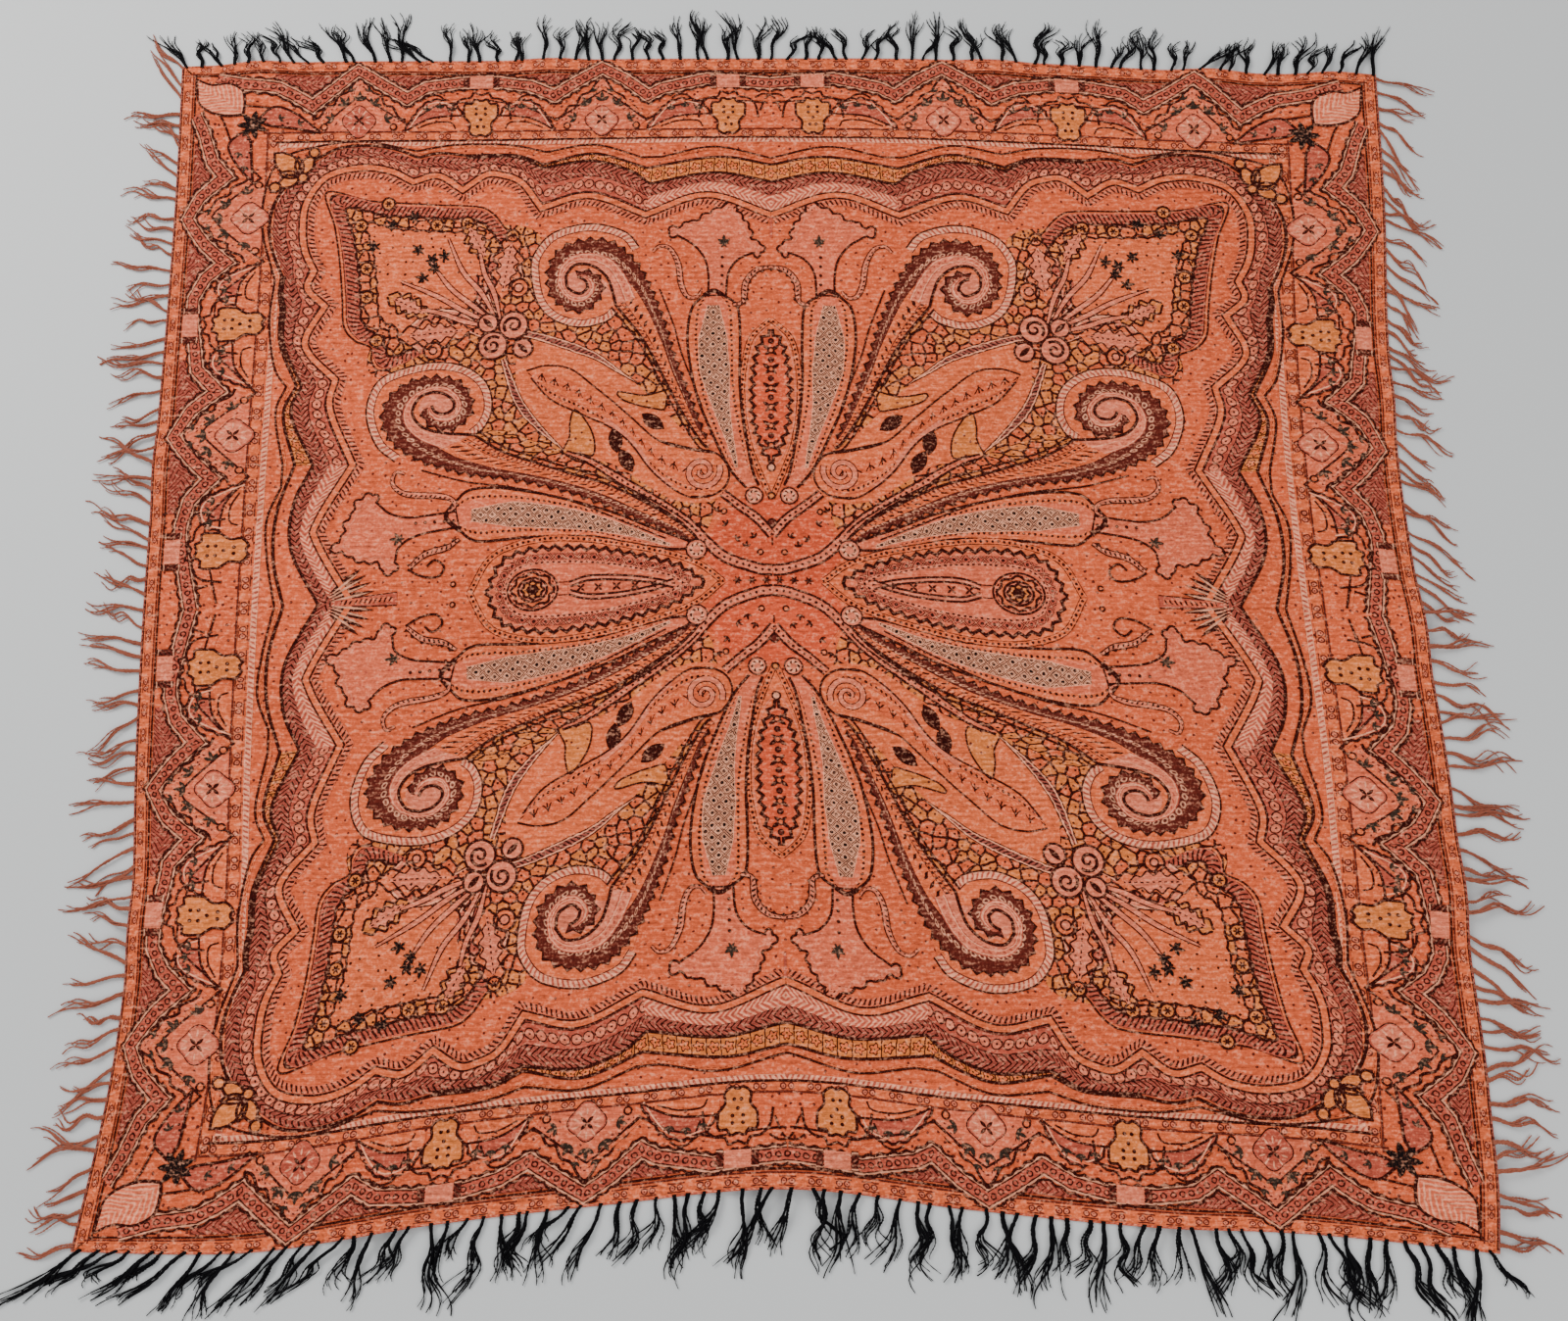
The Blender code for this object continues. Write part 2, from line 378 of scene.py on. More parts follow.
def ornament(name, draw):
    # draw gives back how much ink and accent yarn shows at each place
    material = bpy.data.materials.new(name)
    material.use_nodes = True
    tree = material.node_tree
    weft = tree.nodes.new("ShaderNodeAttribute")
    weft.attribute_name = "weft"
    place = tree.nodes.new("ShaderNodeTexCoord").outputs["Object"]
    waver = tree.nodes.new("ShaderNodeVectorMath")
    waver.operation = "SUBTRACT"
    tree.links.new(noise(tree, place, 170, 1, colour=True), waver.inputs[0])
    waver.inputs[1].default_value = (0.5, 0.5, 0.5)
    wavered = tree.nodes.new("ShaderNodeVectorMath")
    wavered.operation = "MULTIPLY_ADD"
    tree.links.new(waver.outputs[0], wavered.inputs[0])
    wavered.inputs[1].default_value = (wool["wobble"] * 3, wool["wobble"] * 3, 0)
    tree.links.new(weft.outputs["Vector"], wavered.inputs[2])
    split = tree.nodes.new("ShaderNodeSeparateXYZ")
    tree.links.new(wavered.outputs[0], split.inputs[0])
    ink, accent = draw(tree, split.outputs[0], split.outputs[1], split.outputs[2], wavered.outputs[0])
    colours = []
    for attribute in ("yarnA", "yarnB", "yarnC"):
        node = tree.nodes.new("ShaderNodeAttribute")
        node.attribute_name = attribute
        colours.append(node.outputs["Color"])
    colour = mixColour(tree, ink, colours[0], colours[1])
    colour = mixColour(tree, accent, colour, colours[2])
    finishWool(material, colour, maths(tree, "MULTIPLY", ink, -0.5) if not isinstance(ink, float) else 0.0)
    ornaments[name] = material


def cell(tree, value, period):
    return maths(tree, "WRAP", value, period / 2, -period / 2)


def under(tree, value, limit, soft=0.5):
    # 1 where the value is under the limit, with a soft step
    gap = maths(tree, "SUBTRACT", limit, value)
    node = tree.nodes.new("ShaderNodeMath")
    node.operation = "MULTIPLY_ADD"
    node.use_clamp = True
    tree.links.new(gap, node.inputs[0])
    node.inputs[1].default_value = 1 / soft
    node.inputs[2].default_value = 0.5
    return node.outputs[0]


def size(tree, value):
    return maths(tree, "ABSOLUTE", value)


def both(tree, first, second):
    return maths(tree, "MULTIPLY", first, second)


def either(tree, first, second):
    return maths(tree, "MAXIMUM", first, second)


def reach(tree, x, y):
    square = maths(tree, "MULTIPLY", x, x)
    return maths(tree, "SQRT", maths(tree, "MULTIPLY_ADD", y, y, square))


def edgeLines(tree, across, half, width=1.3):
    inset = maths(tree, "SUBTRACT", half, size(tree, across))
    return under(tree, inset, width)


def drawPlain(tree, along, across, half, place):
    return 0.0, 0.0


def drawEdged(tree, along, across, half, place):
    inset = maths(tree, "SUBTRACT", half, size(tree, across))
    ink = under(tree, inset, 1.9)
    accent = under(tree, size(tree, maths(tree, "SUBTRACT", inset, 3.1)), 0.9)
    return ink, accent


def drawBeads(tree, along, across, half, place):
    distance = reach(tree, cell(tree, along, 14), across)
    lines = edgeLines(tree, across, half)
    ink = either(tree, under(tree, distance, 7.0), lines)
    accent = under(tree, size(tree, maths(tree, "SUBTRACT", distance, 3.3)), 1.9)
    return ink, accent


def drawPearls(tree, along, across, half, place):
    distance = reach(tree, cell(tree, along, 7.0), across)
    ink = under(tree, distance, 1.9)
    return ink, edgeLines(tree, across, half, 1.0)


def drawTicks(tree, along, across, half, place):
    slant = maths(tree, "MULTIPLY_ADD", across, 0.5, along)
    bar = under(tree, size(tree, cell(tree, slant, 6.2)), 1.35)
    ink = both(tree, bar, under(tree, size(tree, across), maths(tree, "MULTIPLY", half, 0.85)))
    return ink, 0.0


def drawFeather(tree, along, across, half, place):
    # a herringbone of dark and pale strokes beside the frame's inner line
    slant = maths(tree, "MULTIPLY_ADD", size(tree, across), 1.1, along)
    stroke = size(tree, cell(tree, slant, 7.4))
    ink = either(tree, under(tree, stroke, 1.5), edgeLines(tree, across, half))
    return ink, under(tree, size(tree, maths(tree, "SUBTRACT", stroke, 3.2)), 0.7)


def drawTrellis(tree, along, across, half, place):
    plus = size(tree, cell(tree, maths(tree, "ADD", along, across), 15.0))
    minus = size(tree, cell(tree, maths(tree, "SUBTRACT", along, across), 15.0))
    nearest = maths(tree, "MINIMUM", plus, minus)
    knots = reach(tree, maths(tree, "SUBTRACT", 7.5, plus), maths(tree, "SUBTRACT", 7.5, minus))
    ink = either(tree, under(tree, nearest, 2.0), under(tree, size(tree, maths(tree, "SUBTRACT", knots, 1.0)), 2.0))
    return ink, under(tree, nearest, 0.5)


def drawLeaves(tree, along, across, half, place):
    # slanting lens-shaped leaves, one behind another
    slant = maths(tree, "MULTIPLY_ADD", across, 0.8, along)
    share = maths(tree, "DIVIDE", size(tree, across), maths(tree, "MAXIMUM", half, 1.0))
    width = maths(tree, "MULTIPLY_ADD", share, -3.4, 3.1)
    ink = under(tree, size(tree, cell(tree, slant, 12.5)), width)
    return ink, 0.0


def drawRings(tree, along, across, half, place):
    # a dark band with a row of small rings, edged in black and a pale line
    distance = reach(tree, cell(tree, along, 10.5), across)
    inset = maths(tree, "SUBTRACT", half, size(tree, across))
    accent = under(tree, size(tree, maths(tree, "SUBTRACT", distance, 3.0)), 0.95)
    return under(tree, inset, 1.4), accent


def drawFlowers(tree, along, across, half, place):
    local = cell(tree, along, 17)
    distance = reach(tree, local, across)
    turn = maths(tree, "ARCTAN2", across, local)
    petal = maths(tree, "MULTIPLY_ADD", maths(tree, "COSINE", maths(tree, "MULTIPLY", turn, 5.0)), 1.3, 5.4)
    rim = maths(tree, "SUBTRACT", distance, petal)
    ink = either(tree, under(tree, size(tree, rim), 0.9), under(tree, distance, 1.2))
    ink = either(tree, ink, under(tree, size(tree, maths(tree, "SUBTRACT", size(tree, local), 8.5)), 0.8))
    ink = either(tree, ink, edgeLines(tree, across, half, 1.2))
    accent = both(tree, under(tree, rim, -1.0), under(tree, 2.2, distance))
    return ink, accent


def scattered(tree, place, spacing, randomness, feature="F1"):
    # cells spread loosely over the cloth, about one spacing apart
    cells = tree.nodes.new("ShaderNodeTexVoronoi")
    cells.feature = feature
    cells.voronoi_dimensions = "2D"
    cells.inputs["Scale"].default_value = 1 / spacing
    cells.inputs["Randomness"].default_value = randomness
    tree.links.new(place, cells.inputs["Vector"])
    return cells


def chance(tree, cells, channel, share):
    # 1 in that share of the cells
    split = tree.nodes.new("ShaderNodeSeparateColor")
    tree.links.new(cells.outputs["Color"], split.inputs[0])
    return under(tree, split.outputs[channel], share, 0.02)


def drawPebbles(tree, along, across, half, place):
    # small flowers packed edge to edge, each in its own dark outline
    rims = scattered(tree, place, 15, 0.8, "DISTANCE_TO_EDGE")
    middles = scattered(tree, place, 15, 0.8)
    ink = either(
        tree,
        under(tree, rims.outputs["Distance"], 0.105, 0.03),
        under(tree, middles.outputs["Distance"], 0.10, 0.03),
    )
    accent = both(tree, chance(tree, middles, 0, 0.5), maths(tree, "SUBTRACT", 1.0, ink))
    return ink, accent


def drawSpecks(tree, along, across, half, place):
    cells = scattered(tree, place, 17, 0.75)
    speck = under(tree, cells.outputs["Distance"], 0.095, 0.03)
    return both(tree, speck, chance(tree, cells, 1, 0.8)), 0.0


def drawSprinkles(tree, along, across, half, place):
    # loose specks over the border's ground
    cells = scattered(tree, place, 11, 0.9)
    speck = under(tree, cells.outputs["Distance"], 0.16, 0.04)
    return both(tree, speck, chance(tree, cells, 1, 0.6)), 0.0


def drawBlocks(tree, along, across, half, place):
    # pairs of small scrolls, with a bracket over them
    local = size(tree, cell(tree, along, 31))
    distance = reach(tree, maths(tree, "SUBTRACT", local, 4.2), across)
    gap = size(tree, maths(tree, "SUBTRACT", size(tree, across), 5.2))
    bracket = both(tree, under(tree, local, 9.5), under(tree, gap, 0.9))
    ink = either(tree, under(tree, distance, 4.0), bracket)
    return ink, under(tree, size(tree, maths(tree, "SUBTRACT", distance, 1.6)), 0.7)


def drawSprigs(tree, along, across, half, place):
    # a three-pronged sprig in each stretch, over small marks
    local = cell(tree, along, 18)
    side = size(tree, local)
    stem = both(tree, under(tree, side, 1.1), under(tree, size(tree, across), 5.5))
    prong = size(tree, maths(tree, "SUBTRACT", side, maths(tree, "MULTIPLY_ADD", across, 0.8, 2.4)))
    prongs = both(tree, under(tree, prong, 1.2), under(tree, size(tree, across), 4.4))
    return either(tree, stem, prongs), 0.0


def drawDots(tree, along, across, half, place):
    distance = reach(tree, cell(tree, along, 8.4), across)
    inset = maths(tree, "SUBTRACT", half, size(tree, across))
    ink = either(tree, under(tree, distance, 1.9), under(tree, inset, 1.4))
    return ink, under(tree, size(tree, maths(tree, "SUBTRACT", inset, 2.4)), 0.7)


def drawHatch(tree, along, across, half, place):
    # a close dark texture of crossing strokes between pale edges
    inset = maths(tree, "SUBTRACT", half, size(tree, across))
    slant = maths(tree, "MULTIPLY_ADD", across, 0.9, along)
    stroke = under(tree, size(tree, cell(tree, slant, 6.0)), 1.4)
    ink = either(tree, both(tree, stroke, under(tree, 2.6, inset)), under(tree, inset, 1.3))
    return ink, under(tree, size(tree, maths(tree, "SUBTRACT", inset, 2.1)), 0.8)


for name, draw in {
    "plain": drawPlain, "edged": drawEdged, "beads": drawBeads, "pearls": drawPearls,
    "ticks": drawTicks, "feather": drawFeather, "trellis": drawTrellis, "rings": drawRings,
    "flowers": drawFlowers, "pebbles": drawPebbles, "specks": drawSpecks, "blocks": drawBlocks,
    "sprinkles": drawSprinkles, "sprigs": drawSprigs, "leaves": drawLeaves, "dots": drawDots, "hatch": drawHatch,
}.items():
    ornament(name, draw)
print("wool and ornaments are dyed:", len(ornaments))


# Laying pattern wefts: every figure is drawn in one quarter of the design and mirrored


def spread(points, step):
    # even steps along a path
    points = np.asarray(points, float)
    gaps = np.hypot(*np.diff(points, axis=0).T)
    run = np.concatenate([[0], np.cumsum(gaps)])
    count = max(int(round(run[-1] / step)), 2)
    share = np.linspace(0, run[-1], count + 1)
    return np.column_stack([np.interp(share, run, points[:, 0]), np.interp(share, run, points[:, 1])])


def smooth(points, step=5.0, closed=False):
    points = np.asarray(points, float)
    if len(points) == 2:
        return spread(points, step)
    if closed:
        points = np.vstack([points, points[:1]])
        padded = np.vstack([points[-2], points, points[1]])
    else:
        padded = np.vstack([2 * points[0] - points[1], points, 2 * points[-1] - points[-2]])
    fine = []
    for a, b, c, d in zip(padded, padded[1:], padded[2:], padded[3:]):
        for t in np.linspace(0, 1, 10, endpoint=False):
            bend = (2 * a - 5 * b + 4 * c - d) * t * t + (3 * b - a - 3 * c + d) * t**3
            fine.append(0.5 * (2 * b + (c - a) * t + bend))
    fine.append(points[-1])
    return spread(fine, step)


def contour(runs, step=5.0):
    # smooth runs that meet in cusps
    pieces = [smooth(run, step) for run in runs]
    return np.vstack([pieces[0]] + [piece[1:] for piece in pieces[1:]])


def sideways(path):
    # to the left of the way along; at a corner the mean of both sides, stretched to keep the width
    steps = np.diff(path, axis=0)
    length = np.hypot(*steps.T)
    steps = steps / np.maximum(length, 1e-6)[:, None]
    for index in np.nonzero(length < 1e-6)[0]:
        steps[index] = steps[index - 1] if index else steps[1]
    sides = np.column_stack([-steps[:, 1], steps[:, 0]])
    before = np.vstack([sides[:1], sides])
    after = np.vstack([sides, sides[-1:]])
    if np.allclose(path[0], path[-1]):
        before[0], after[-1] = sides[-1], sides[0]
    middle = before + after
    middle /= np.maximum(np.hypot(*middle.T), 1e-6)[:, None]
    stretch = np.maximum(np.sum(middle * before, axis=1), 0.62)
    return middle / stretch[:, None]


def corners(points, step=6.0):
    # straight runs that keep their corners
    runs = [spread(pair, step) for pair in zip(points, points[1:])]
    return np.vstack([runs[0]] + [run[1:] for run in runs[1:]])


def shifted(points, distance):
    points = np.asarray(points, float)
    return points + sideways(points) * distance


def beside(path, distance):
    return path + sideways(path) * np.asarray(distance, float).reshape(-1, 1)


def along(path):
    return np.concatenate([[0], np.cumsum(np.hypot(*np.diff(path, axis=0).T))])


mirrors = {
    "four": [(1, 1), (-1, 1), (1, -1), (-1, -1)],
    "upright": [(1, 1), (1, -1)],
    "level": [(1, 1), (-1, 1)],
    "once": [(1, 1)],
}
wefts = {}


def weave(weft, points, faces, marks, figure, yarns, layer, mirror):
    store = wefts.setdefault(weft, {kind: [] for kind in ("points", "faces", "marks", "yarns", "layers", "figures")})
    yarns = (yarns,) * 3 if isinstance(yarns, str) else yarns
    colours = np.concatenate([yarn[name] for name in yarns])
    points = np.asarray(points, float)
    marks = np.asarray(marks, float)
    faces = [tuple(face) for face in faces]
    # figures on one layer, and the parts of one that winds over itself, never share a height
    run = marks[:, 0] - marks[:, 0].min()
    rise = layer + 0.1 * (len(store["layers"]) // 4 % 7) + 0.3 * run / max(run.max(), 1)
    for flipU, flipV in mirrors[mirror]:
        start = sum(len(block) for block in store["points"])
        placed = points * (flipU, flipV)
        store["points"].append(placed)
        store["marks"].append(marks)
        store["layers"].append(rise)
        store["yarns"].append(np.tile(colours, (len(points), 1)))
        for face in faces:
            corners = placed[list(face)]
            following = np.roll(corners, -1, axis=0)
            area = np.sum(corners[:, 0] * following[:, 1] - corners[:, 1] * following[:, 0])
            turned = face if area > 0 else face[::-1]
            store["faces"].append(tuple(start + index for index in turned))
            store["figures"].append(figure)


def grid(rows):
    # rows of equally many points, joined with quads
    count, width = len(rows), len(rows[0])
    faces = []
    for row in range(count - 1):
        for column in range(width - 1):
            first = row * width + column
            faces.append((first, first + 1, first + width + 1, first + width))
    return faces


def strip(weft, lower, upper, figure, yarns, layer, mirror="four", lowShare=0.0, highShare=1.0, cut=9.0):
    # a strip between two paths that run side by side
    count = max(len(lower), len(upper))
    first = resampled(lower, count)
    second = resampled(upper, count)
    a = first + (second - first) * lowShare
    b = first + (second - first) * highShare
    width = np.hypot(*(b - a).T)
    columns = max(int(math.ceil(width.max() / cut)), 1)
    run = along((a + b) / 2)
    points, marks = [], []
    for share in np.linspace(0, 1, columns + 1):
        points.append(a + (b - a) * share)
        marks.append(np.column_stack([run, (share - 0.5) * width, width / 2]))
    points = np.stack(points, axis=1).reshape(-1, 2)
    marks = np.stack(marks, axis=1).reshape(-1, 3)
    rows = [[0] * (columns + 1)] * count
    weave(weft, points, grid(rows), marks, figure, yarns, layer, mirror)


def resampled(path, count):
    run = along(path)
    share = np.linspace(0, run[-1], count)
    return np.column_stack([np.interp(share, run, path[:, 0]), np.interp(share, run, path[:, 1])])


def ribbon(weft, path, half, figure, yarns, layer, mirror="four"):
    path = np.asarray(path, float)
    half = np.interp(np.linspace(0, 1, len(path)), np.linspace(0, 1, np.size(half)), np.atleast_1d(half))
    side = sideways(path) * half[:, None]
    columns = max(int(math.ceil(2 * half.max() / 9)), 1)
    run = along(path)
    points, marks = [], []
    for share in np.linspace(-1, 1, columns + 1):
        points.append(path + side * share)
        marks.append(np.column_stack([run, share * half, half]))
    points = np.stack(points, axis=1).reshape(-1, 2)
    marks = np.stack(marks, axis=1).reshape(-1, 3)
    weave(weft, points, grid([[0] * (columns + 1)] * len(path)), marks, figure, yarns, layer, mirror)


def patch(weft, outline, figure, yarns, layer, mirror="four"):
    outline = np.asarray(outline, float)
    if np.allclose(outline[0], outline[-1]):
        outline = outline[:-1]
    faces = tessellate_polygon([[Vector((u, v, 0)) for u, v in outline]])
    marks = np.column_stack([outline, np.full(len(outline), 99.0)])
    weave(weft, outline, faces, marks, figure, yarns, layer, mirror)


def around(u, v, radiusU, radiusV=None, count=20, turn=0.0):
    radiusV = radiusV or radiusU
    angle = np.linspace(0, 2 * math.pi, count + 1) + turn
    return np.column_stack([u + radiusU * np.cos(angle), v + radiusV * np.sin(angle)])


# heights in mm over the cloth's top
pattern = {
    "firstLayer": 0.20,
    "layerStep": 0.10,
}


def cutOut(name):
    # turns one store of figures into a finished object
    store = wefts[name]
    design = np.vstack(store["points"])
    layers = np.concatenate(store["layers"])
    marks = np.vstack(store["marks"])
    colours = np.vstack(store["yarns"])
    # cloth edges are never crossed
    inside = np.array((cloth["halfWidth"] - 1, cloth["halfLength"] - 1))
    design = np.clip(design, -inside, inside)
    raised = pattern["firstLayer"] + layers * pattern["layerStep"]
    mesh = bpy.data.meshes.new(name)
    mesh.from_pydata(onCloth(design, raised).tolist(), [], store["faces"])
    figures = sorted(set(store["figures"]))
    for figure in figures:
        mesh.materials.append(ornaments[figure])
    mesh.polygons.foreach_set("material_index", [figures.index(figure) for figure in store["figures"]])
    mesh.polygons.foreach_set("use_smooth", [True] * len(mesh.polygons))
    mesh.attributes.new("weft", "FLOAT_VECTOR", "POINT").data.foreach_set("vector", marks.astype(np.float32).ravel())
    for index, attribute in enumerate(("yarnA", "yarnB", "yarnC")):
        layer = mesh.attributes.new(attribute, "FLOAT_COLOR", "POINT")
        layer.data.foreach_set("color", colours[:, index * 4 : index * 4 + 4].astype(np.float32).ravel())
    unwrap(mesh)
    mesh.validate()
    thing = bpy.data.objects.new(name, mesh)
    bpy.context.scene.collection.objects.link(thing)
    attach(thing, "root")
    print(name, "has", sum(len(face) - 2 for face in store["faces"]), "triangles")
    return thing


def unwrap(mesh):
    layer = mesh.uv_layers.new(name="OFBake")
    corners = np.zeros(len(mesh.loops), np.int32)
    mesh.loops.foreach_get("vertex_index", corners)
    places = np.zeros(len(mesh.vertices) * 3, np.float32)
    mesh.vertices.foreach_get("co", places)
    places = places.reshape(-1, 3)[corners, :2]
    layer.data.foreach_set("uv", ((places / 1.75) + 0.5).astype(np.float32).ravel())


# Small figures that the larger ones share


def line(weft, path, colour="dark", half=1.2, layer=8, mirror="four", step=4.0):
    ribbon(weft, smooth(path, step), half, "plain", colour, layer, mirror)


def leaf(u, v, length, half, angle):
    share = np.linspace(0, 1, 7)
    bulge = half * np.sin(share * math.pi) ** 0.8
    low = np.column_stack([share * length, -bulge])
    high = np.column_stack([share * length, bulge])[::-1]
    shape = np.vstack([low, high[1:-1]])
    turn = np.array([(math.cos(angle), math.sin(angle)), (-math.sin(angle), math.cos(angle))])
    return shape @ turn + (u, v)


def sprig(weft, u, v, size=8.0, angle=90.0, colour="green", layer=9, mirror="four"):
    # a small three-leaved twig
    for lean, share in ((-52, 0.8), (0, 1.0), (52, 0.8)):
        shape = leaf(u, v, size * share, size * 0.17, math.radians(angle + lean))
        patch(weft, shape, "plain", colour, layer, mirror)


def outlined(weft, path, half, colour, layer, mirror="four", edge=1.6):
    # a coloured line with a dark line on both sides
    half = np.atleast_1d(np.asarray(half, float))
    ribbon(weft, path, half, "plain", "dark", layer, mirror)
    ribbon(weft, path, np.maximum(half - edge, 0.3), "plain", colour, layer + 1, mirror)


def zigzagLine(weft, path, tall, period, half, layer, mirror="four", colour="dark"):
    path = spread(path, period / 2)
    turns = beside(path, np.where(np.arange(len(path)) % 2, tall, -tall))
    ribbon(weft, corners(turns, 3), half, "plain", colour, layer, mirror)


def bumpy(path, tall, period):
    # a scalloped copy of a path, with its bumps to the left
    path = spread(path, 2.6)
    bumps = max(round(along(path)[-1] / period), 1)
    share = np.linspace(0, bumps, len(path))
    return beside(path, tall * np.abs(np.sin(share * math.pi)) - tall / 2)


def lobedLeaf(weft, u, v, length, half, angle, layer=6, mirror="four", fill="warm"):
    # a leaf with rounded lobes, a paler inner leaf and a beaded rib
    for shrink, colour, line, rise in ((1.0, fill, 1.5, 0), (0.66, "pink", 1.0, 2)):
        share = np.linspace(0, 1, 41)
        lobes = 1 + 0.26 * np.sin(share * 8 * math.pi - 1.2)
        width = half * shrink * np.sin(np.clip(share, 0.02, 0.98) * math.pi) ** 0.6 * lobes
        x = length * (share * shrink + (1 - shrink) / 2)
        shape = np.vstack([np.column_stack([x, width]), np.column_stack([x, -width])[::-1]])
        turn = np.array([(math.cos(angle), math.sin(angle)), (-math.sin(angle), math.cos(angle))])
        shape = shape @ turn + (u, v)
        one, two = shape[:41], shape[:40:-1]
        strip(weft, two, one, "specks", (colour, "dark", colour), layer + rise, mirror)
        for edge in (one, two):
            ribbon(weft, edge, line, "plain", "dark", layer + rise + 1, mirror)
    rib = np.array([(0.1, 0), (0.85, 0)]) * length @ turn + (u, v)
    ribbon(weft, spread(rib, 5), 2.0, "pearls", ("pink", "dark", "pink"), layer + 4, mirror)


def star(weft, u, v, size=6.0, points=4, colour="dark", layer=9, mirror="four"):
    for point in range(points):
        angle = 2 * math.pi * point / points + math.pi / 4 * (points == 4)
        patch(weft, leaf(u, v, size, size * 0.2, angle), "plain", colour, layer, mirror)


def dot(weft, u, v, radius=2.0, colour="dark", layer=9, mirror="four"):
    patch(weft, around(u, v, radius, count=8), "plain", colour, layer, mirror)


def ring(weft, u, v, radius, fill="pink", edge="dark", half=1.1, layer=8, mirror="four", tall=None):
    circle = around(u, v, radius, tall, count=max(int(radius), 12))
    patch(weft, circle, "plain", fill, layer, mirror)
    ribbon(weft, circle, half, "plain", edge, layer + 1, mirror)


def curl(weft, u, v, radius, start, turns, colour, clockwise=False, half=3.4, layer=9):
    # a ribbon that winds inwards to its centre
    way = -1 if clockwise else 1
    share = np.linspace(0, 1, int(14 * turns) + 6)
    angle = math.radians(start) + way * share * turns * 2 * math.pi
    radii = radius * (1 - 0.86 * share)
    path = np.column_stack([u + radii * np.cos(angle), v + radii * np.sin(angle)])
    outlined(weft, path, [half, half, half * 0.6], colour, layer, edge=1.3)


def teeth(weft, path, tall, period, layer, fill="brown", mirror="four"):
    # a saw edge that stands out to the left of the path, dark with a lighter core
    path = spread(path, period / 2)
    for low, foot, tip, colour, rise in ((-1.8, 1.2, tall, "dark", 0), (-3.0, -0.6, tall * 0.45, fill, 1)):
        edge = beside(path, np.where(np.arange(len(path)) % 2, tip, foot))
        inner = beside(path, low)
        points = np.stack([inner, edge], axis=1).reshape(-1, 2)
        marks = np.zeros((len(points), 3))
        weave(weft, points, grid([[0, 0]] * len(path)), marks, "plain", colour, layer + rise, mirror)


# The cloth: one closed sheet, right side up, with the wrong side's loose floats below


def makeCloth():
    columns, rows = cloth["columns"], cloth["rows"]
    across = np.linspace(-cloth["halfWidth"], cloth["halfWidth"], columns + 1)
    upward = np.linspace(-cloth["halfLength"], cloth["halfLength"], rows + 1)
    design = np.stack(np.meshgrid(across, upward), axis=-1).reshape(-1, 2)
    floor = onFloor(design)
    lift = liftAt(floor)
    top = np.column_stack([floor, lift + cloth["thickness"]]) * mm
    bottom = np.column_stack([floor, lift + 0.02]) * mm
    count = len(design)
    width = columns + 1
    faces = []
    kinds = []
    for row in range(rows):
        for column in range(columns):
            first = row * width + column
            faces.append((first, first + 1, first + width + 1, first + width))
            middle = design[first] + (across[1] - across[0]) / 2
            inner = abs(middle[0]) < 643 and abs(middle[1]) < 614
            kinds.append(0 if inner else 1)
            faces.append((first + count + width, first + count + width + 1, first + count + 1, first + count))
            kinds.append(2)
    edge = list(range(width))
    edge += [row * width + columns for row in range(1, rows + 1)]
    edge += [rows * width + column for column in range(columns - 1, -1, -1)]
    edge += [row * width for row in range(rows - 1, 0, -1)]
    for first, second in zip(edge, edge[1:] + edge[:1]):
        faces.append((second, first, first + count, second + count))
        kinds.append(2)
    mesh = bpy.data.meshes.new("cloth")
    mesh.from_pydata(np.vstack([top, bottom]).tolist(), [], faces)
    for material in (ornaments["specks"], ornaments["sprinkles"], makeUnderside()):
        mesh.materials.append(material)
    mesh.polygons.foreach_set("material_index", kinds)
    mesh.polygons.foreach_set("use_smooth", [True] * len(faces))
    marks = np.column_stack([design, np.full(count, 99.0)])
    marks = np.vstack([marks, marks]).astype(np.float32)
    mesh.attributes.new("weft", "FLOAT_VECTOR", "POINT").data.foreach_set("vector", marks.ravel())
    for attribute, name in (("yarnA", "orange"), ("yarnB", "brown"), ("yarnC", "pale")):
        colours = np.tile(yarn[name], (2 * count, 1)).astype(np.float32)
        mesh.attributes.new(attribute, "FLOAT_COLOR", "POINT").data.foreach_set("color", colours.ravel())
    unwrap(mesh)
    thing = bpy.data.objects.new("cloth", mesh)
    bpy.context.scene.collection.objects.link(thing)
    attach(thing, "root")
    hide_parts("woven_panel")
    print("the cloth is laid")
    return thing


def makeUnderside():
    material = bpy.data.materials.new("loose floats")
    material.use_nodes = True
    tree = material.node_tree
    place = tree.nodes.new("ShaderNodeTexCoord").outputs["Object"]
    share = noise(tree, stretched(tree, place, 30, 700, 1), 1.0, 2)
    picked = noise(tree, stretched(tree, place, 12, 380, 1), 1.0, 1)
    colour = mixColour(tree, under(tree, share, 0.48, 0.06), yarn["orange"], yarn["brown"])
    colour = mixColour(tree, under(tree, picked, 0.42, 0.05), colour, yarn["ochre"])
    finishWool(material, colour, share)
    return material


# The frame of the field: a wavy line that steps round it, with its bands


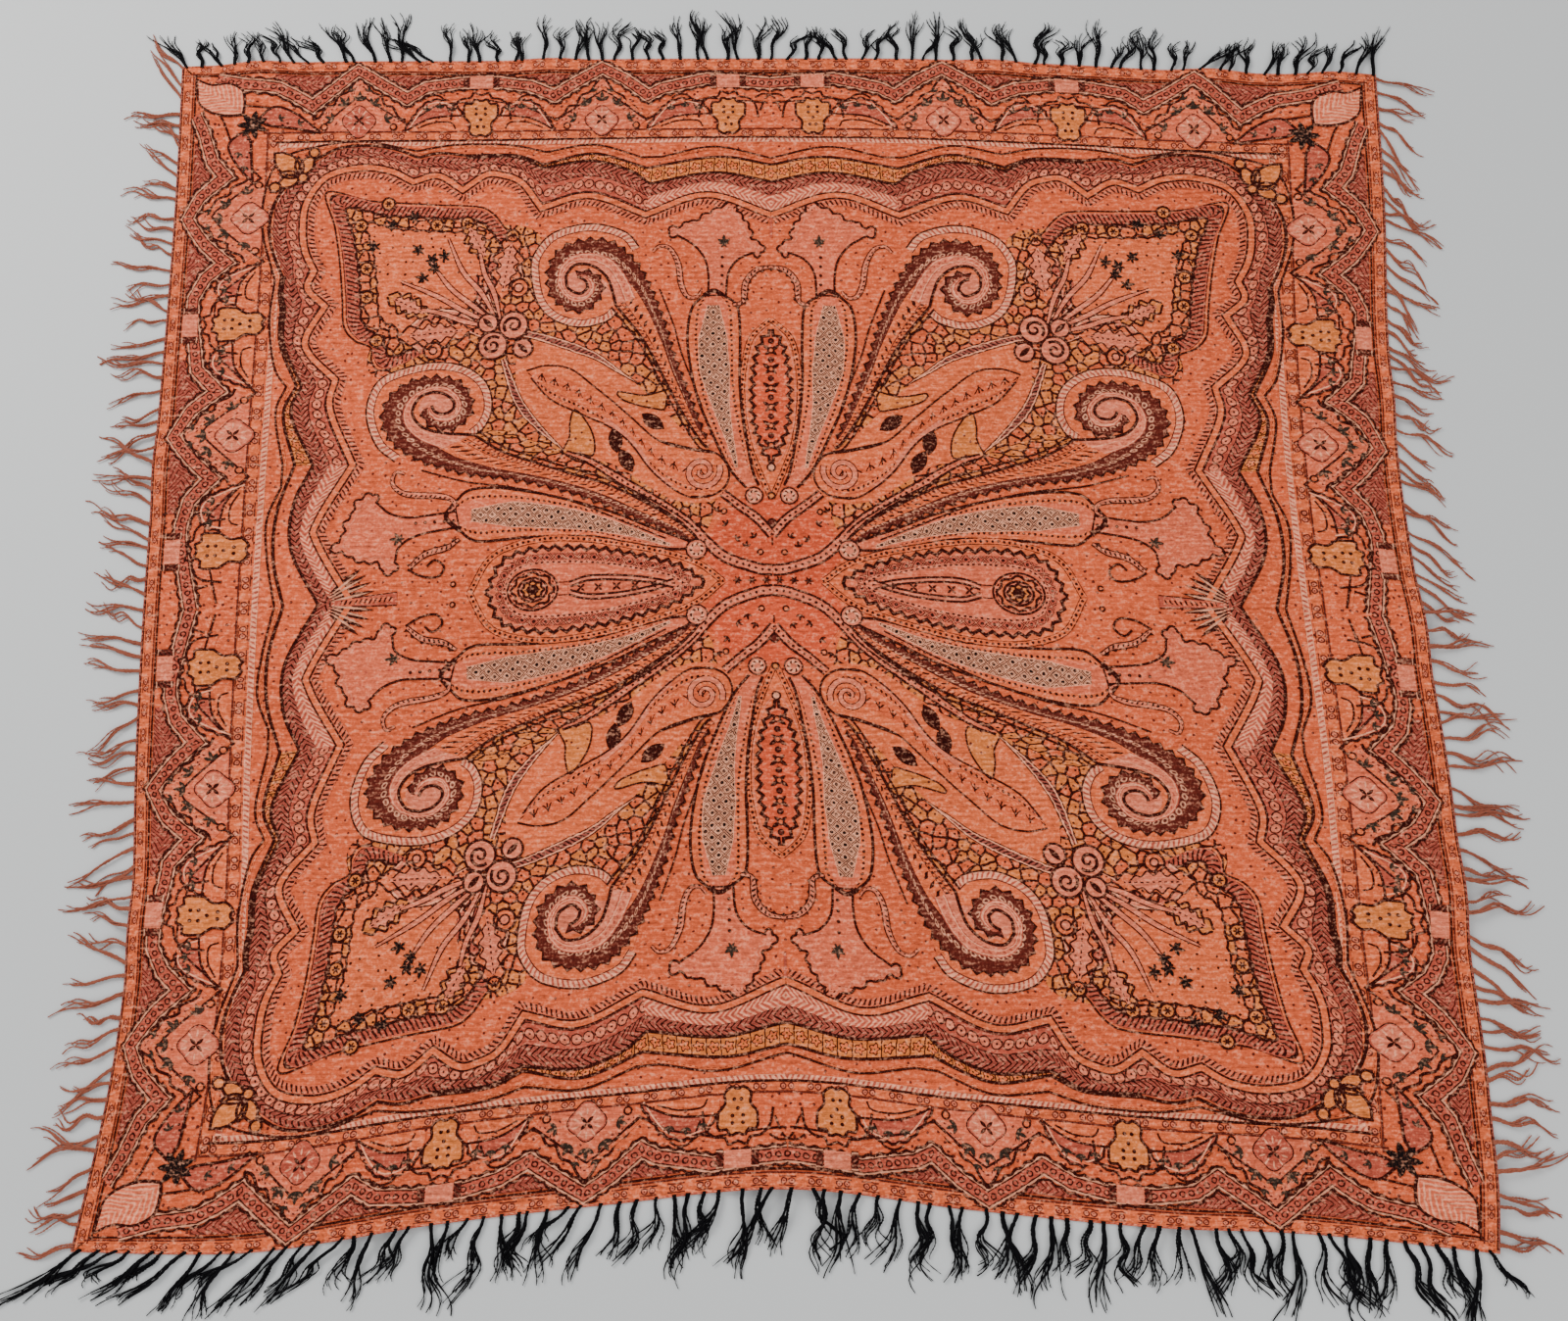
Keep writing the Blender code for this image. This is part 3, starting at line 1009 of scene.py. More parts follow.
guardInner = [
    [(0, 503), (85, 533), (166, 506)], [(166, 506), (240, 535), (304, 519)],
    [(304, 519), (330, 556), (356, 568), (378, 569), (408, 548)], [(408, 548), (441, 569), (474, 561)],
    [(474, 561), (505, 577), (545, 582), (590, 570), (613, 535), (616, 495), (611, 465), (599, 439)],
    [(599, 439), (606, 415), (582, 390)], [(582, 390), (604, 350), (598, 325), (563, 290)],
    [(563, 290), (567, 250), (534, 176)], [(534, 176), (575, 105), (574, 78), (527, 0)],
]
guardMiddle = [
    [(0, 552), (75, 566), (161, 551)], [(161, 551), (190, 572), (240, 586), (304, 577)],
    [(304, 577), (340, 594), (405, 594)], [(405, 594), (440, 598), (470, 591)],
    [(470, 591), (500, 604), (540, 610), (580, 604), (621, 576), (646, 540), (652, 500), (646, 466), (634, 434)],
    [(634, 434), (636, 412), (632, 390)], [(632, 390), (630, 340), (606, 284)],
    [(606, 284), (616, 245), (585, 178)], [(585, 178), (606, 130), (606, 70), (569, 0)],
]
guardOuter = [
    [(0, 577), (70, 589), (165, 574)], [(165, 574), (235, 596), (302, 582)],
    [(302, 582), (340, 596), (405, 597)], [(405, 597), (440, 601), (468, 595)],
    [(468, 595), (500, 607), (540, 612), (582, 606), (624, 578), (649, 540), (655, 500), (649, 466), (637, 434)],
    [(637, 434), (639, 412), (636, 390)], [(636, 390), (634, 340), (612, 284)],
    [(612, 284), (625, 245), (608, 180)], [(608, 180), (625, 120), (626, 60), (612, 0)],
]
guardThin = [
    [(0, 587), (75, 604), (146, 590)], [(146, 590), (172, 590)], [(172, 590), (235, 609), (299, 600)],
    [(299, 600), (350, 611), (420, 612), (470, 604)],
    [(470, 604), (540, 617), (600, 612), (644, 597), (661, 560), (663, 500), (645, 428)],
    [(645, 428), (648, 370), (639, 310), (624, 283)], [(624, 283), (634, 247), (622, 180)],
    [(622, 180), (622, 152)], [(622, 152), (636, 110), (633, 60), (622, 0)],
]


def runsTogether(first, second, step=5.0):
    # two contours cut into equally many samples, run by run
    lower, upper = [], []
    for one, other in zip(first, second):
        one, other = smooth(one, step), smooth(other, step)
        count = max(len(one), len(other))
        one, other = resampled(one, count), resampled(other, count)
        lower.append(one if not lower else one[1:])
        upper.append(other if not upper else other[1:])
    return np.vstack(lower), np.vstack(upper)


def weaveGuard():
    inner, middle = runsTogether(guardInner, guardMiddle)
    outer = contour(guardOuter)
    thin = contour(guardThin)
    name = "guardWefts"
    for first, last in ((0, 3), (5, 8)):
        low, high = runsTogether(guardMiddle[first:last], guardOuter[first:last])
        strip(name, low, high, "flowers", ("ochre", "dark", "warm"), 2)
    strip(name, inner, middle, "plain", "rose", 1)
    # beads along the wavy parts, feathered strokes beside the axes
    strokes = ("feather", ("pink", "rose", "pale"))
    for first, last, figure, yarns in ((0, 1, *strokes), (1, 8, "beads", ("rose", "dark", "pink")), (8, 9, *strokes)):
        low, high = runsTogether(guardInner[first:last], guardMiddle[first:last])
        strip(name, low, high, figure, yarns, 3, lowShare=0.12, highShare=0.58)
        strip(name, low, high, "feather", ("rose", "dark", "mauve"), 2, lowShare=0.56, highShare=0.98)
    for first, last in ((0, 3), (5, 9)):
        ribbon(name, contour(guardMiddle[first:last]), 1.9, "plain", "dark", 5)
    ribbon(name, outer, 1.9, "plain", "dark", 5)
    ribbon(name, thin, 1.3, "plain", "dark", 5)
    ribbon(name, beside(thin, -3.4), 1.4, "pearls", ("warm", "brown", "warm"), 4)
    outlined(name, inner, 5.6, "warm", 5, edge=2.3)
    ribbon(name, beside(inner, -10.5), 4.6, "ticks", ("salmon", "dark", "salmon"), 3)


# The border between the frame and the cloth's edges


border = {
    "farLine": 617,  # where the straight line lies, from the middle of the cloth
    "sideLine": 647,
    "sideStretch": 1.13,  # the side borders are this much wider than the far and near ones
}


def borderPlace(run, d, side):
    # run along the border from the middle of the cloth, d outwards from the straight line
    run, d = np.broadcast_arrays(np.asarray(run, float), np.asarray(d, float))
    if side == "top":
        return np.column_stack([run.ravel(), border["farLine"] + d.ravel()])
    return np.column_stack([border["sideLine"] + border["sideStretch"] * d.ravel(), run.ravel()])


def toCorner(length, d, side):
    # even steps from the middle of a side to the corner, d outwards from the straight line
    end = length + d * (border["sideStretch"] if side == "top" else 1)
    return np.linspace(0, end, int(end / 8))


def borderPath(points, middle, side, flip=1, smoothly=True):
    points = np.array(points, float)
    points = points[::flip] * (flip, 1) if flip < 0 else points
    path = smooth(points, 4) if smoothly else corners(points, 5)
    return borderPlace(middle + path[:, 0], path[:, 1], side)


zigzags = {
    "top": [
        (0, 82), (85, 90), (145, 75), (164, 64), (196, 90), (226, 108), (252, 90), (289, 63), (322, 79),
        (372, 88), (417, 85),
        (460, 78), (486, 60), (519, 81), (552, 105), (580, 77), (611, 49), (633, 64), (652, 75), (689, 80), (727, 94),
    ],
    "side": [
        (0, 60), (40, 68), (88, 77), (107, 77), (137, 69), (165, 47), (189, 69), (221, 95), (255, 76),
        (280, 48), (310, 73), (338, 77), (380, 84), (407, 84), (434, 71), (455, 50), (481, 75),
        (518, 101), (548, 84), (575, 56), (596, 72), (632, 84), (655, 96),
    ],
}
# middle of each rosette, of each shield, and each low boat-shaped leaf from its shield's side to its tip
borderFigures = {
    "top": {
        "rosettes": (226, 549), "shields": (56, 387),
        "boats": ((80, 166), (363, 288), (411, 488)), "troughs": (164, 289, 486, 611),
    },
    "side": {
        "rosettes": (221, 516), "shields": (73, 370),
        "boats": ((97, 160), (346, 283), (394, 454)), "troughs": (165, 280, 455, 575),
    },
}


def weaveBorder():
    name = "borderWefts"
    for side, length in (("top", 652), ("side", 622)):
        for low, high, figure, yarns, layer in (
            (-6, 0, "ticks", ("pale", "rose", "pale"), 2),
            (2, 12, "blocks", ("warm", "brown", "pink"), 2),
            (104, 121, "blocks", ("warm", "brown", "pink"), 2),
        ):
            run = toCorner(length, (high + low) / 2, side)
            strip(name, borderPlace(run, low, side), borderPlace(run, high, side), figure, yarns, layer)
        for d, half, colour in (
            (1, 1.5, "dark"), (13.5, 1.0, "brown"), (99, 1.5, "dark"), (103, 1.1, "brown"), (121.5, 1.2, "dark"),
        ):
            if side == "side" and d == 1:
                continue
            ribbon(name, borderPlace(toCorner(length, d, side), d, side), half, "plain", colour, 4)
        run = toCorner(length, 121, side)
        hem = ("rose", "pink", "rose") if side == "top" else ("mauve", "brown", "mauve")
        ribbon(name, borderPlace(run, 123 if side == "top" else 125, side), 3.0, "ticks", hem, 6)
        zig = np.array(zigzags[side], float)
        way = 1 if side == "top" else -1
        path = borderPlace(*corners(zig, 6).T, side)
        place = borderPlace(*zig.T, side)
        ribbon(name, path, 7.5, "rings", ("rose", "dark", "dark"), 6)
        for distance, half, figure, yarns in (
            (8.8, 1.1, "plain", "ash"), (-9, 1.1, "plain", "ash"), (-11.5, 1.6, "plain", "dark"),
            (11.5, 1.5, "plain", "dark"), (-30, 1.3, "plain", "dark"), (-26, 1.4, "pearls", ("warm", "rose", "warm")),
        ):
            run = corners(shifted(place, distance * way), 6)
            ribbon(name, bumpy(run, 3.0 * way, 15) if abs(distance) == 11.5 else run, half, figure, yarns, 5)
        # dark hatched ground above each trough
        for trough in borderFigures[side]["troughs"]:
            run = np.linspace(trough - 44, trough + 44, 13)
            lowD = np.interp(run, zig[:, 0], zig[:, 1]) + 13
            low, high = borderPlace(run, lowD, side), borderPlace(run, np.maximum(lowD, 96), side)
            strip(name, low, high, "feather", ("rose", "brown", "mauve"), 3)
        for middle in borderFigures[side]["rosettes"]:
            weaveRosette(name, side, middle)
        for middle in borderFigures[side]["shields"]:
            weaveShield(name, side, middle)
        for start, tip in borderFigures[side]["boats"]:
            weaveBoat(name, side, start, tip)
    weaveCorner(name)
    print("the border is drawn")


def weaveRosette(name, side, middle):
    halfTent = [(62, 30), (52, 34), (44, 48), (34, 50), (28, 64), (16, 70), (8, 84)]
    tent = [(-x, d) for x, d in halfTent] + [(0, 92)] + halfTent[::-1]
    foot = [(-62, 30), (-40, 14), (0, 13), (40, 14), (62, 30)]
    top, base = borderPath(tent, middle, side), borderPath(foot, middle, side)
    strip(name, base, top, "specks", ("salmon", "brown", "pale"), 3)
    ribbon(name, top, 1.7, "plain", "dark", 5)
    innerTent = borderPath([(x * 0.86, 14 + (d - 14) * 0.86) for x, d in tent], middle, side)
    ribbon(name, innerTent, 1.2, "ticks", ("pink", "brown", "pink"), 4)
    u, v = borderPlace(middle, 29, side)[0]
    angle = np.linspace(0, 2 * math.pi, 37)
    for radius, colour, layer in ((21, "dark", 6), (19.6, "rose", 6.5), (18, "pink", 7)):
        # a rounded heart whose point lies towards the straight line
        radii = radius * (1 + 0.10 * np.cos(4 * angle) - 0.10 * np.sin(angle))
        heart = np.column_stack([radii * np.cos(angle), radii * np.sin(angle)])
        heart = heart if side == "top" else heart[:, ::-1] * (1, -1)
        patch(name, heart + (u, v), "plain", colour, layer)
    for petal in range(10):
        lean = petal * math.pi / 5 + 0.3
        patch(name, leaf(u + 9 * math.cos(lean), v + 9 * math.sin(lean), 8, 1.1, lean), "plain", "pale", 8)
    star(name, u, v, 10, colour="dark", layer=9)
    for x, d, angle, big in (
        (0, 56, 90, 15), (-18, 50, 125, 15), (18, 50, 55, 15),
        (-34, 30, 160, 13), (34, 30, 20, 13), (-10, 70, 110, 9), (10, 70, 70, 9),
    ):
        turn = angle if side == "top" else 90 - angle
        sprig(name, *borderPlace(middle + x, d, side)[0], big, turn, layer=8)
    for x in (-46, 46):
        ring(name, *borderPlace(middle + x, 20, side)[0], 4.2, fill="warm", layer=6)


def weaveShield(name, side, middle):
    top = [(-22, 34), (-22, 52), (-12, 53), (-8, 60), (0, 57), (8, 60), (12, 53), (22, 52), (22, 34)]
    low = [(-22, 34), (-14, 24), (-15, 13), (-6, 6), (0, 9), (6, 6), (15, 13), (14, 24), (22, 34)]
    upper, lower = borderPath(top, middle, side), borderPath(low, middle, side)
    strip(name, lower, upper, "plain", "ochre", 6)
    for path in (upper, lower):
        ribbon(name, path, 1.6, "plain", "dark", 8)
    for x, d in ((-6, 46), (6, 46), (-6, 38), (6, 38), (0, 30), (-4, 20), (4, 20)):
        dot(name, *borderPlace(middle + x, d, side)[0], 2.3, layer=9)
    # a shoulder line over the shield, and a pink block between two dark posts
    halfShoulder = [(40, 30), (36, 50), (26, 60), (14, 62), (10, 70)]
    shoulder = [(-x, d) for x, d in halfShoulder] + [(0, 66)] + halfShoulder[::-1]
    strip(name, upper, borderPath(shoulder, middle, side), "plain", "orange", 4)
    ribbon(name, borderPath(shoulder, middle, side), 1.5, "plain", "dark", 7)
    run = np.linspace(middle - 15, middle + 15, 5)
    strip(name, borderPlace(run, 76, side), borderPlace(run, 96, side), "plain", "pink", 8)
    for x in (-20, 20):
        run = np.linspace(middle + x - 4, middle + x + 4, 3)
        strip(name, borderPlace(run, 74, side), borderPlace(run, 97, side), "hatch", ("brown", "dark", "ash"), 9)
    # small arcades that fill the ground on both sides
    for flip in (-1, 1):
        arcade = [(42, 40), (52, 62), (66, 66), (76, 60)]
        ribbon(name, borderPath(arcade, middle, side, flip), 1.3, "plain", "dark", 4)


def weaveBoat(name, side, start, tip):
    length = tip - start
    hull = [(0.0, 34), (0.08, 48), (0.22, 56), (0.45, 59), (0.66, 53), (0.84, 36), (1.0, 15)]
    inner = [(0.03, 36), (0.3, 35), (0.55, 32), (0.8, 23), (0.96, 15)]
    flat = [(0.0, 34), (-0.04, 24), (0.02, 15), (0.5, 14), (1.0, 15)]
    hump = [(0.12, 17), (0.2, 26), (0.5, 26), (0.78, 18)]
    top, mid, low, hump = (
        borderPath([(share * length, d) for share, d in points], start, side) for points in (hull, inner, flat, hump)
    )
    way = (1 if length > 0 else -1) * (-1 if side == "top" else 1)
    strip(name, mid, top, "specks", ("rose", "brown", "mauve"), 3)
    strip(name, low, mid, "specks", ("warm", "brown", "warm"), 3)
    ribbon(name, bumpy(top, 2.4, 14), 1.6, "plain", "dark", 5)
    ribbon(name, beside(top, 4 * way), 0.9, "plain", "pale", 5)
    ribbon(name, mid, 1.4, "plain", "dark", 5)
    ribbon(name, hump, 1.1, "plain", "dark", 5)
    for share, d in ((0.18, 43), (0.4, 46), (0.62, 42)):
        sprig(name, *borderPlace(start + share * length, d, side)[0], 10, 90 if side == "top" else 0, layer=7)


def weaveCorner(name):
    # a pink leaf at the very corner, a spidery twig, two long leaves and a small lily
    leafEdge = [(757, 710), (735, 700), (712, 701), (694, 690), (690, 672), (692, 655)]
    leafLow = [(757, 710), (755, 690), (752, 672), (735, 660), (712, 654), (692, 655)]
    one, two = smooth(leafEdge, 4), smooth(leafLow, 4)
    strip(name, one, two, "feather", ("pink", "salmon", "pale"), 6)
    for path in (one, two):
        ribbon(name, path, 1.7, "plain", "dark", 8)
    star(name, 680, 641, 19, points=7, colour="black", layer=9)
    for outline, low in (
        ([(674, 648), (655, 664), (630, 655), (599, 629)], [(674, 648), (662, 640), (634, 636), (599, 629)]),
        ([(690, 634), (708, 616), (698, 592), (677, 566)], [(690, 634), (682, 620), (680, 598), (677, 566)]),
    ):
        one, two = smooth(outline, 4), smooth(low, 4)
        strip(name, one, two, "specks", ("rose", "dark", "pale"), 6)
        for path in (one, two):
            ribbon(name, path, 1.6, "plain", "dark", 8)
    for u, v, angle in ((650, 648, 160), (628, 642, 160), (694, 606, -70), (686, 588, -70)):
        sprig(name, u, v, 9, angle, layer=9)
    for angle, long, wide in ((45, 44, 12), (118, 30, 8), (-28, 30, 8), (82, 25, 5), (8, 25, 5)):
        petal = leaf(622, 573, long, wide, math.radians(angle))
        patch(name, petal, "plain", "ochre", 9)
        ribbon(name, np.vstack([petal, petal[:1]]), 1.6, "plain", "dark", 10)
    ring(name, 619, 570, 6, fill="ochre", layer=12, half=1.5)
    for u, v in ((606, 603), (651, 558)):
        ring(name, u, v, 6.5, fill="ochre", layer=12, half=1.5)


# The field: two paisley drops in each quarter, the long drops on the axes, and the diagonal bunch

sideDrop = {
    "outer": [
        [(95, 53), (128, 71), (178, 94), (229, 118), (280, 136), (331, 149), (385, 158), (442, 176)],
        [(442, 176), (479, 200), (497, 232), (489, 262), (462, 281), (430, 285)],
        [(430, 285), (403, 277), (388, 255), (388, 236), (405, 219)],
        [(405, 219), (421, 218), (436, 224), (444, 234), (445, 245)],
    ],
    "inner": [
        [(97, 61), (115, 78), (153, 104), (204, 132), (255, 150), (307, 169), (345, 184), (380, 207)],
        [(380, 207), (410, 210), (431, 214), (450, 223), (461, 241), (452, 261), (436, 267)],
        [(436, 267), (421, 264), (409, 254), (408, 244), (415, 238)],
        [(415, 238), (424, 237), (431, 240), (435, 245), (436, 249)],
    ],
    "ring": [
        (477, 181), (501, 203), (515, 243), (506, 278), (482, 293), (437, 302),
        (398, 295), (372, 274), (364, 245), (371, 222), (384, 210),
    ],
    "circle": (95, 43, 13),
    "turned": True,
}
upperDrop = {
    "outer": [
        [(85, 187), (101, 230), (114, 266), (128, 303), (138, 340), (147, 365), (158, 394)],
        [(158, 394), (171, 422), (188, 446), (214, 466), (248, 468), (277, 456), (291, 430)],
        [(291, 430), (286, 396), (262, 375), (240, 375), (224, 393)],
        [(224, 393), (223, 408), (232, 420), (245, 425), (255, 422)],
    ],
    "inner": [
        [(80, 178), (90, 187), (113, 225), (132, 262), (151, 301), (170, 334), (203, 378)],
        [(203, 378), (208, 398), (216, 418), (235, 434), (257, 436), (269, 422)],
        [(269, 422), (266, 404), (250, 395), (240, 403)],
        [(240, 403), (242, 411), (247, 416), (254, 419)],
    ],
    "ring": [
        (178, 456), (196, 477), (239, 489), (284, 478), (306, 452), (309, 427),
        (301, 389), (281, 365), (249, 354), (218, 360), (204, 372),
    ],
    "circle": (22, 112, 11),
    "turned": False,
}


def weaveDrop(shape):
    name = "fieldWefts"
    outer, inner = runsTogether(shape["outer"], shape["inner"], 4.0)
    way = -1 if shape["turned"] else 1
    saw = contour(shape["outer"], 4.0)
    tail = smooth(shape["outer"][0], 4.0)
    tailInner = smooth(shape["inner"][0], 4.0)
    band = smooth(shape["ring"], 4.0)
    # the ring round the curl, with its clear ground
    patch(name, np.vstack([band, smooth(shape["outer"][1], 6)[:3]]), "plain", "warm", 2)
    ribbon(name, band, 4.6, "ticks", ("pale", "rose", "pale"), 3)
    ribbon(name, beside(band, 5.4 * way), 1.1, "plain", "dark", 4)
    ribbon(name, beside(band, -4.6 * way), 0.7, "plain", "brown", 4)
    curlEdge = np.vstack([smooth(run, 5) for run in shape["outer"][1:3]])
    patch(name, curlEdge, "plain", "pink", 4)
    # the drop's own bands
    strip(name, outer, inner, "plain", ("warm", "dark", "warm"), 4)
    strip(name, outer, inner, "rings", ("brown", "dark", "ash"), 5, highShare=0.40)
    strip(name, tail, tailInner, "leaves", ("warm", "dark", "warm"), 6, lowShare=0.42, highShare=0.72)
    strip(name, tail, tailInner, "pearls", ("warm", "dark", "brown"), 6, lowShare=0.74, highShare=0.86)
    curlRuns = len(outer) - len(tail)
    strip(name, outer[-curlRuns:], inner[-curlRuns:], "dots", ("pink", "rose", "pale"), 6, lowShare=0.42, highShare=0.74)
    strip(name, outer[-curlRuns:], inner[-curlRuns:], "plain", "pink", 6, lowShare=0.72)
    teeth(name, saw if not shape["turned"] else saw[::-1], 7.4, 15, 7)
    ribbon(name, contour(shape["inner"], 3.0), 1.9, "plain", "dark", 10)
    ribbon(name, beside(tailInner, -6.5 * way), 1.3, "plain", "dark", 8)
    ribbon(name, beside(tailInner, 4 * way), 2.2, "ticks", ("warm", "brown", "warm"), 8)
    halo = smooth(shape["outer"][0][1:], 4.0)
    ribbon(name, beside(halo, 13 * way), 1.1, "plain", "dark", 6)
    u, v, radius = shape["circle"]
    ring(name, u, v, radius, fill="pink", layer=9)
    ribbon(name, around(u, v, radius * 0.55, count=14), 2.0, "ticks", ("pale", "dark", "pale"), 11)


def weaveTrellisDrops():
    name = "fieldWefts"
    # a lattice drop with its wide plain border, beside each axis
    for middle, halves, outlineOne, outlineTwo in (
        (
            [(44, 150), (50, 178), (64, 235), (74, 300), (75, 350), (75, 374)], (1, 5, 11, 19, 18, 7),
            [(32, 123), (52, 148), (75, 197), (96, 252), (108, 320), (104, 368), (88, 388)],
            [(16, 126), (24, 147), (34, 207), (40, 264), (40, 330), (44, 372), (62, 388)],
        ),
        (
            [(128, 50), (178, 70), (229, 85), (279, 94), (330, 100), (380, 101)], (1, 5, 10, 14, 16, 7),
            [(97, 45), (128, 45), (178, 55), (228, 66), (304, 69), (370, 67), (394, 82)],
            [(97, 50), (110, 57), (153, 75), (204, 98), (280, 122), (344, 135), (384, 134), (402, 118)],
        ),
    ):
        one, two = smooth(outlineOne, 5), smooth(outlineTwo, 5)
        strip(name, one, two, "plain", ("warm", "dark", "warm"), 2)
        for edge in (one, two):
            ribbon(name, edge, 1.8, "plain", "dark", 5)
        strip(name, one, two, "pearls", ("warm", "dark", "salmon"), 3, lowShare=0.10, highShare=0.22)
        strip(name, one, two, "pearls", ("warm", "dark", "salmon"), 3, lowShare=0.78, highShare=0.90)
        strip(name, one, two, "plain", "salmon", 3, lowShare=0.22, highShare=0.78)
        ribbon(name, smooth(middle, 4), np.array(halves, float) + 1, "plain", "pale", 4)
        ribbon(name, smooth(middle, 4), np.array(halves, float), "trellis", ("ash", "black", "pale"), 5)
        ribbon(name, np.vstack([one[-1:], two[-1:]]), 1.2, "plain", "dark", 5)
        cap = (one[-1] + two[-1]) / 2 + (np.array(middle[-1]) - middle[-2]) * 0.28
        line(name, [one[-1], cap, two[-1]], half=3.0, layer=6)


def weaveAxisDrops():
    name = "fieldWefts"
    # upright: dotted edge, plain ground, saw-edged core with a column of flowers
    outline = [(0, 108), (16, 147), (30, 190), (37, 250), (34, 292), (25, 328), (0, 353)]
    core = [(0, 158), (8, 168), (21, 207), (24, 250), (21, 292), (13, 322), (0, 338)]
    ribbon(name, smooth(outline, 4), 3.8, "pearls", ("warm", "dark", "dark"), 4)
    strip(name, np.array([(0.0, p[1]) for p in smooth(outline, 5)]), smooth(outline, 5), "plain", "warm", 2)
    strip(name, np.array([(0.0, p[1]) for p in smooth(core, 5)]), smooth(core, 5), "plain", "red", 4)
    zigzagLine(name, smooth(core, 3), 3.0, 15, 2.1, 6)
    ribbon(name, beside(smooth(core, 3), -7), 1.0, "plain", "pink", 5)
    for step in range(6):
        v = 180 + step * 26
        for lean in (-1, 1):
            patch(name, leaf(0, v, 13, 2.6, math.radians(90 - 55 * lean)), "plain", "dark", 9, mirror="upright")
            patch(name, leaf(0, v, 10, 2.2, math.radians(-90 + 50 * lean)), "plain", "dark", 9, mirror="upright")
        ring(name, 0, v, 3.6, fill="warm", layer=10, mirror="upright")
        ring(name, 0, v + 13, 3.0, fill="brown", layer=9, mirror="upright")
    ring(name, 0, 150, 5, fill="pale", layer=7, mirror="upright")
    ring(name, 0, 112, 4, fill="ochre", layer=7, mirror="upright")
    # level: the same idea, laid along the other axis, with a medallion in its round end
    outline = [(62, 0), (92, 24), (128, 39), (178, 52), (228, 62), (279, 66), (324, 59), (356, 42), (379, 0)]
    zig = [(84, 0), (115, 22), (153, 35), (203, 47), (253, 53), (304, 52), (340, 38), (357, 0)]
    slim = [(122, 0), (150, 8), (190, 14), (230, 15), (255, 8), (258, 0)]
    strip(name, np.array([(p[0], 0.0) for p in smooth(outline, 5)]), smooth(outline, 5), "plain", "warm", 2)
    ribbon(name, smooth(outline, 4), 4.2, "pearls", ("warm", "dark", "dark"), 5)
    zigzagLine(name, smooth(zig, 3), 3.0, 16, 2.2, 6)
    strip(name, np.array([(p[0], 0.0) for p in smooth(zig, 5)]), smooth(zig, 5), "plain", "salmon", 3)
    inside = smooth([(104, 0), (125, 14), (155, 23), (203, 34), (253, 39), (304, 38), (330, 26), (341, 0)], 4)
    ribbon(name, beside(inside, 2), 5.4, "trellis", ("rose", "dark", "pink"), 4)
    ribbon(name, beside(inside, -4.5), 2.2, "pearls", ("pink", "dark", "pink"), 5)
    for shrink, colour in ((0, "dark"), (-3, "pink"), (-6, "dark")):
        ribbon(name, beside(smooth(slim[:5], 4), shrink), 1.4, "plain", colour, 6)
    for u in (150, 172, 195, 218, 240):
        star(name, u, 0, 7, layer=8, mirror="level")
    angle = np.linspace(0, 2 * math.pi, 49)
    rounds = ((31, "salmon", False), (25, "warm", True), (18, "pink", False), (13, "ochre", True), (6, "red", False))
    for index, (radius, fill, lobed) in enumerate(rounds):
        radii = radius * (1 + 0.09 * np.cos(8 * angle) * lobed)
        shape = np.column_stack([300 + radii * np.cos(angle), radii * 0.84 * np.sin(angle)])
        patch(name, shape, "plain", fill, 7 + index, "level")
        ribbon(name, shape, 1.7, "plain", "dark", 7.5 + index, "level")
    ribbon(name, around(300, 0, 28, 23), 2.0, "pearls", ("salmon", "dark", "salmon"), 8, "level")
    star(name, 300, 0, 10, points=6, layer=13, mirror="level")
    outlined(name, smooth([(268, 0), (256, 0)], 3), 9, "salmon", 6, mirror="level")


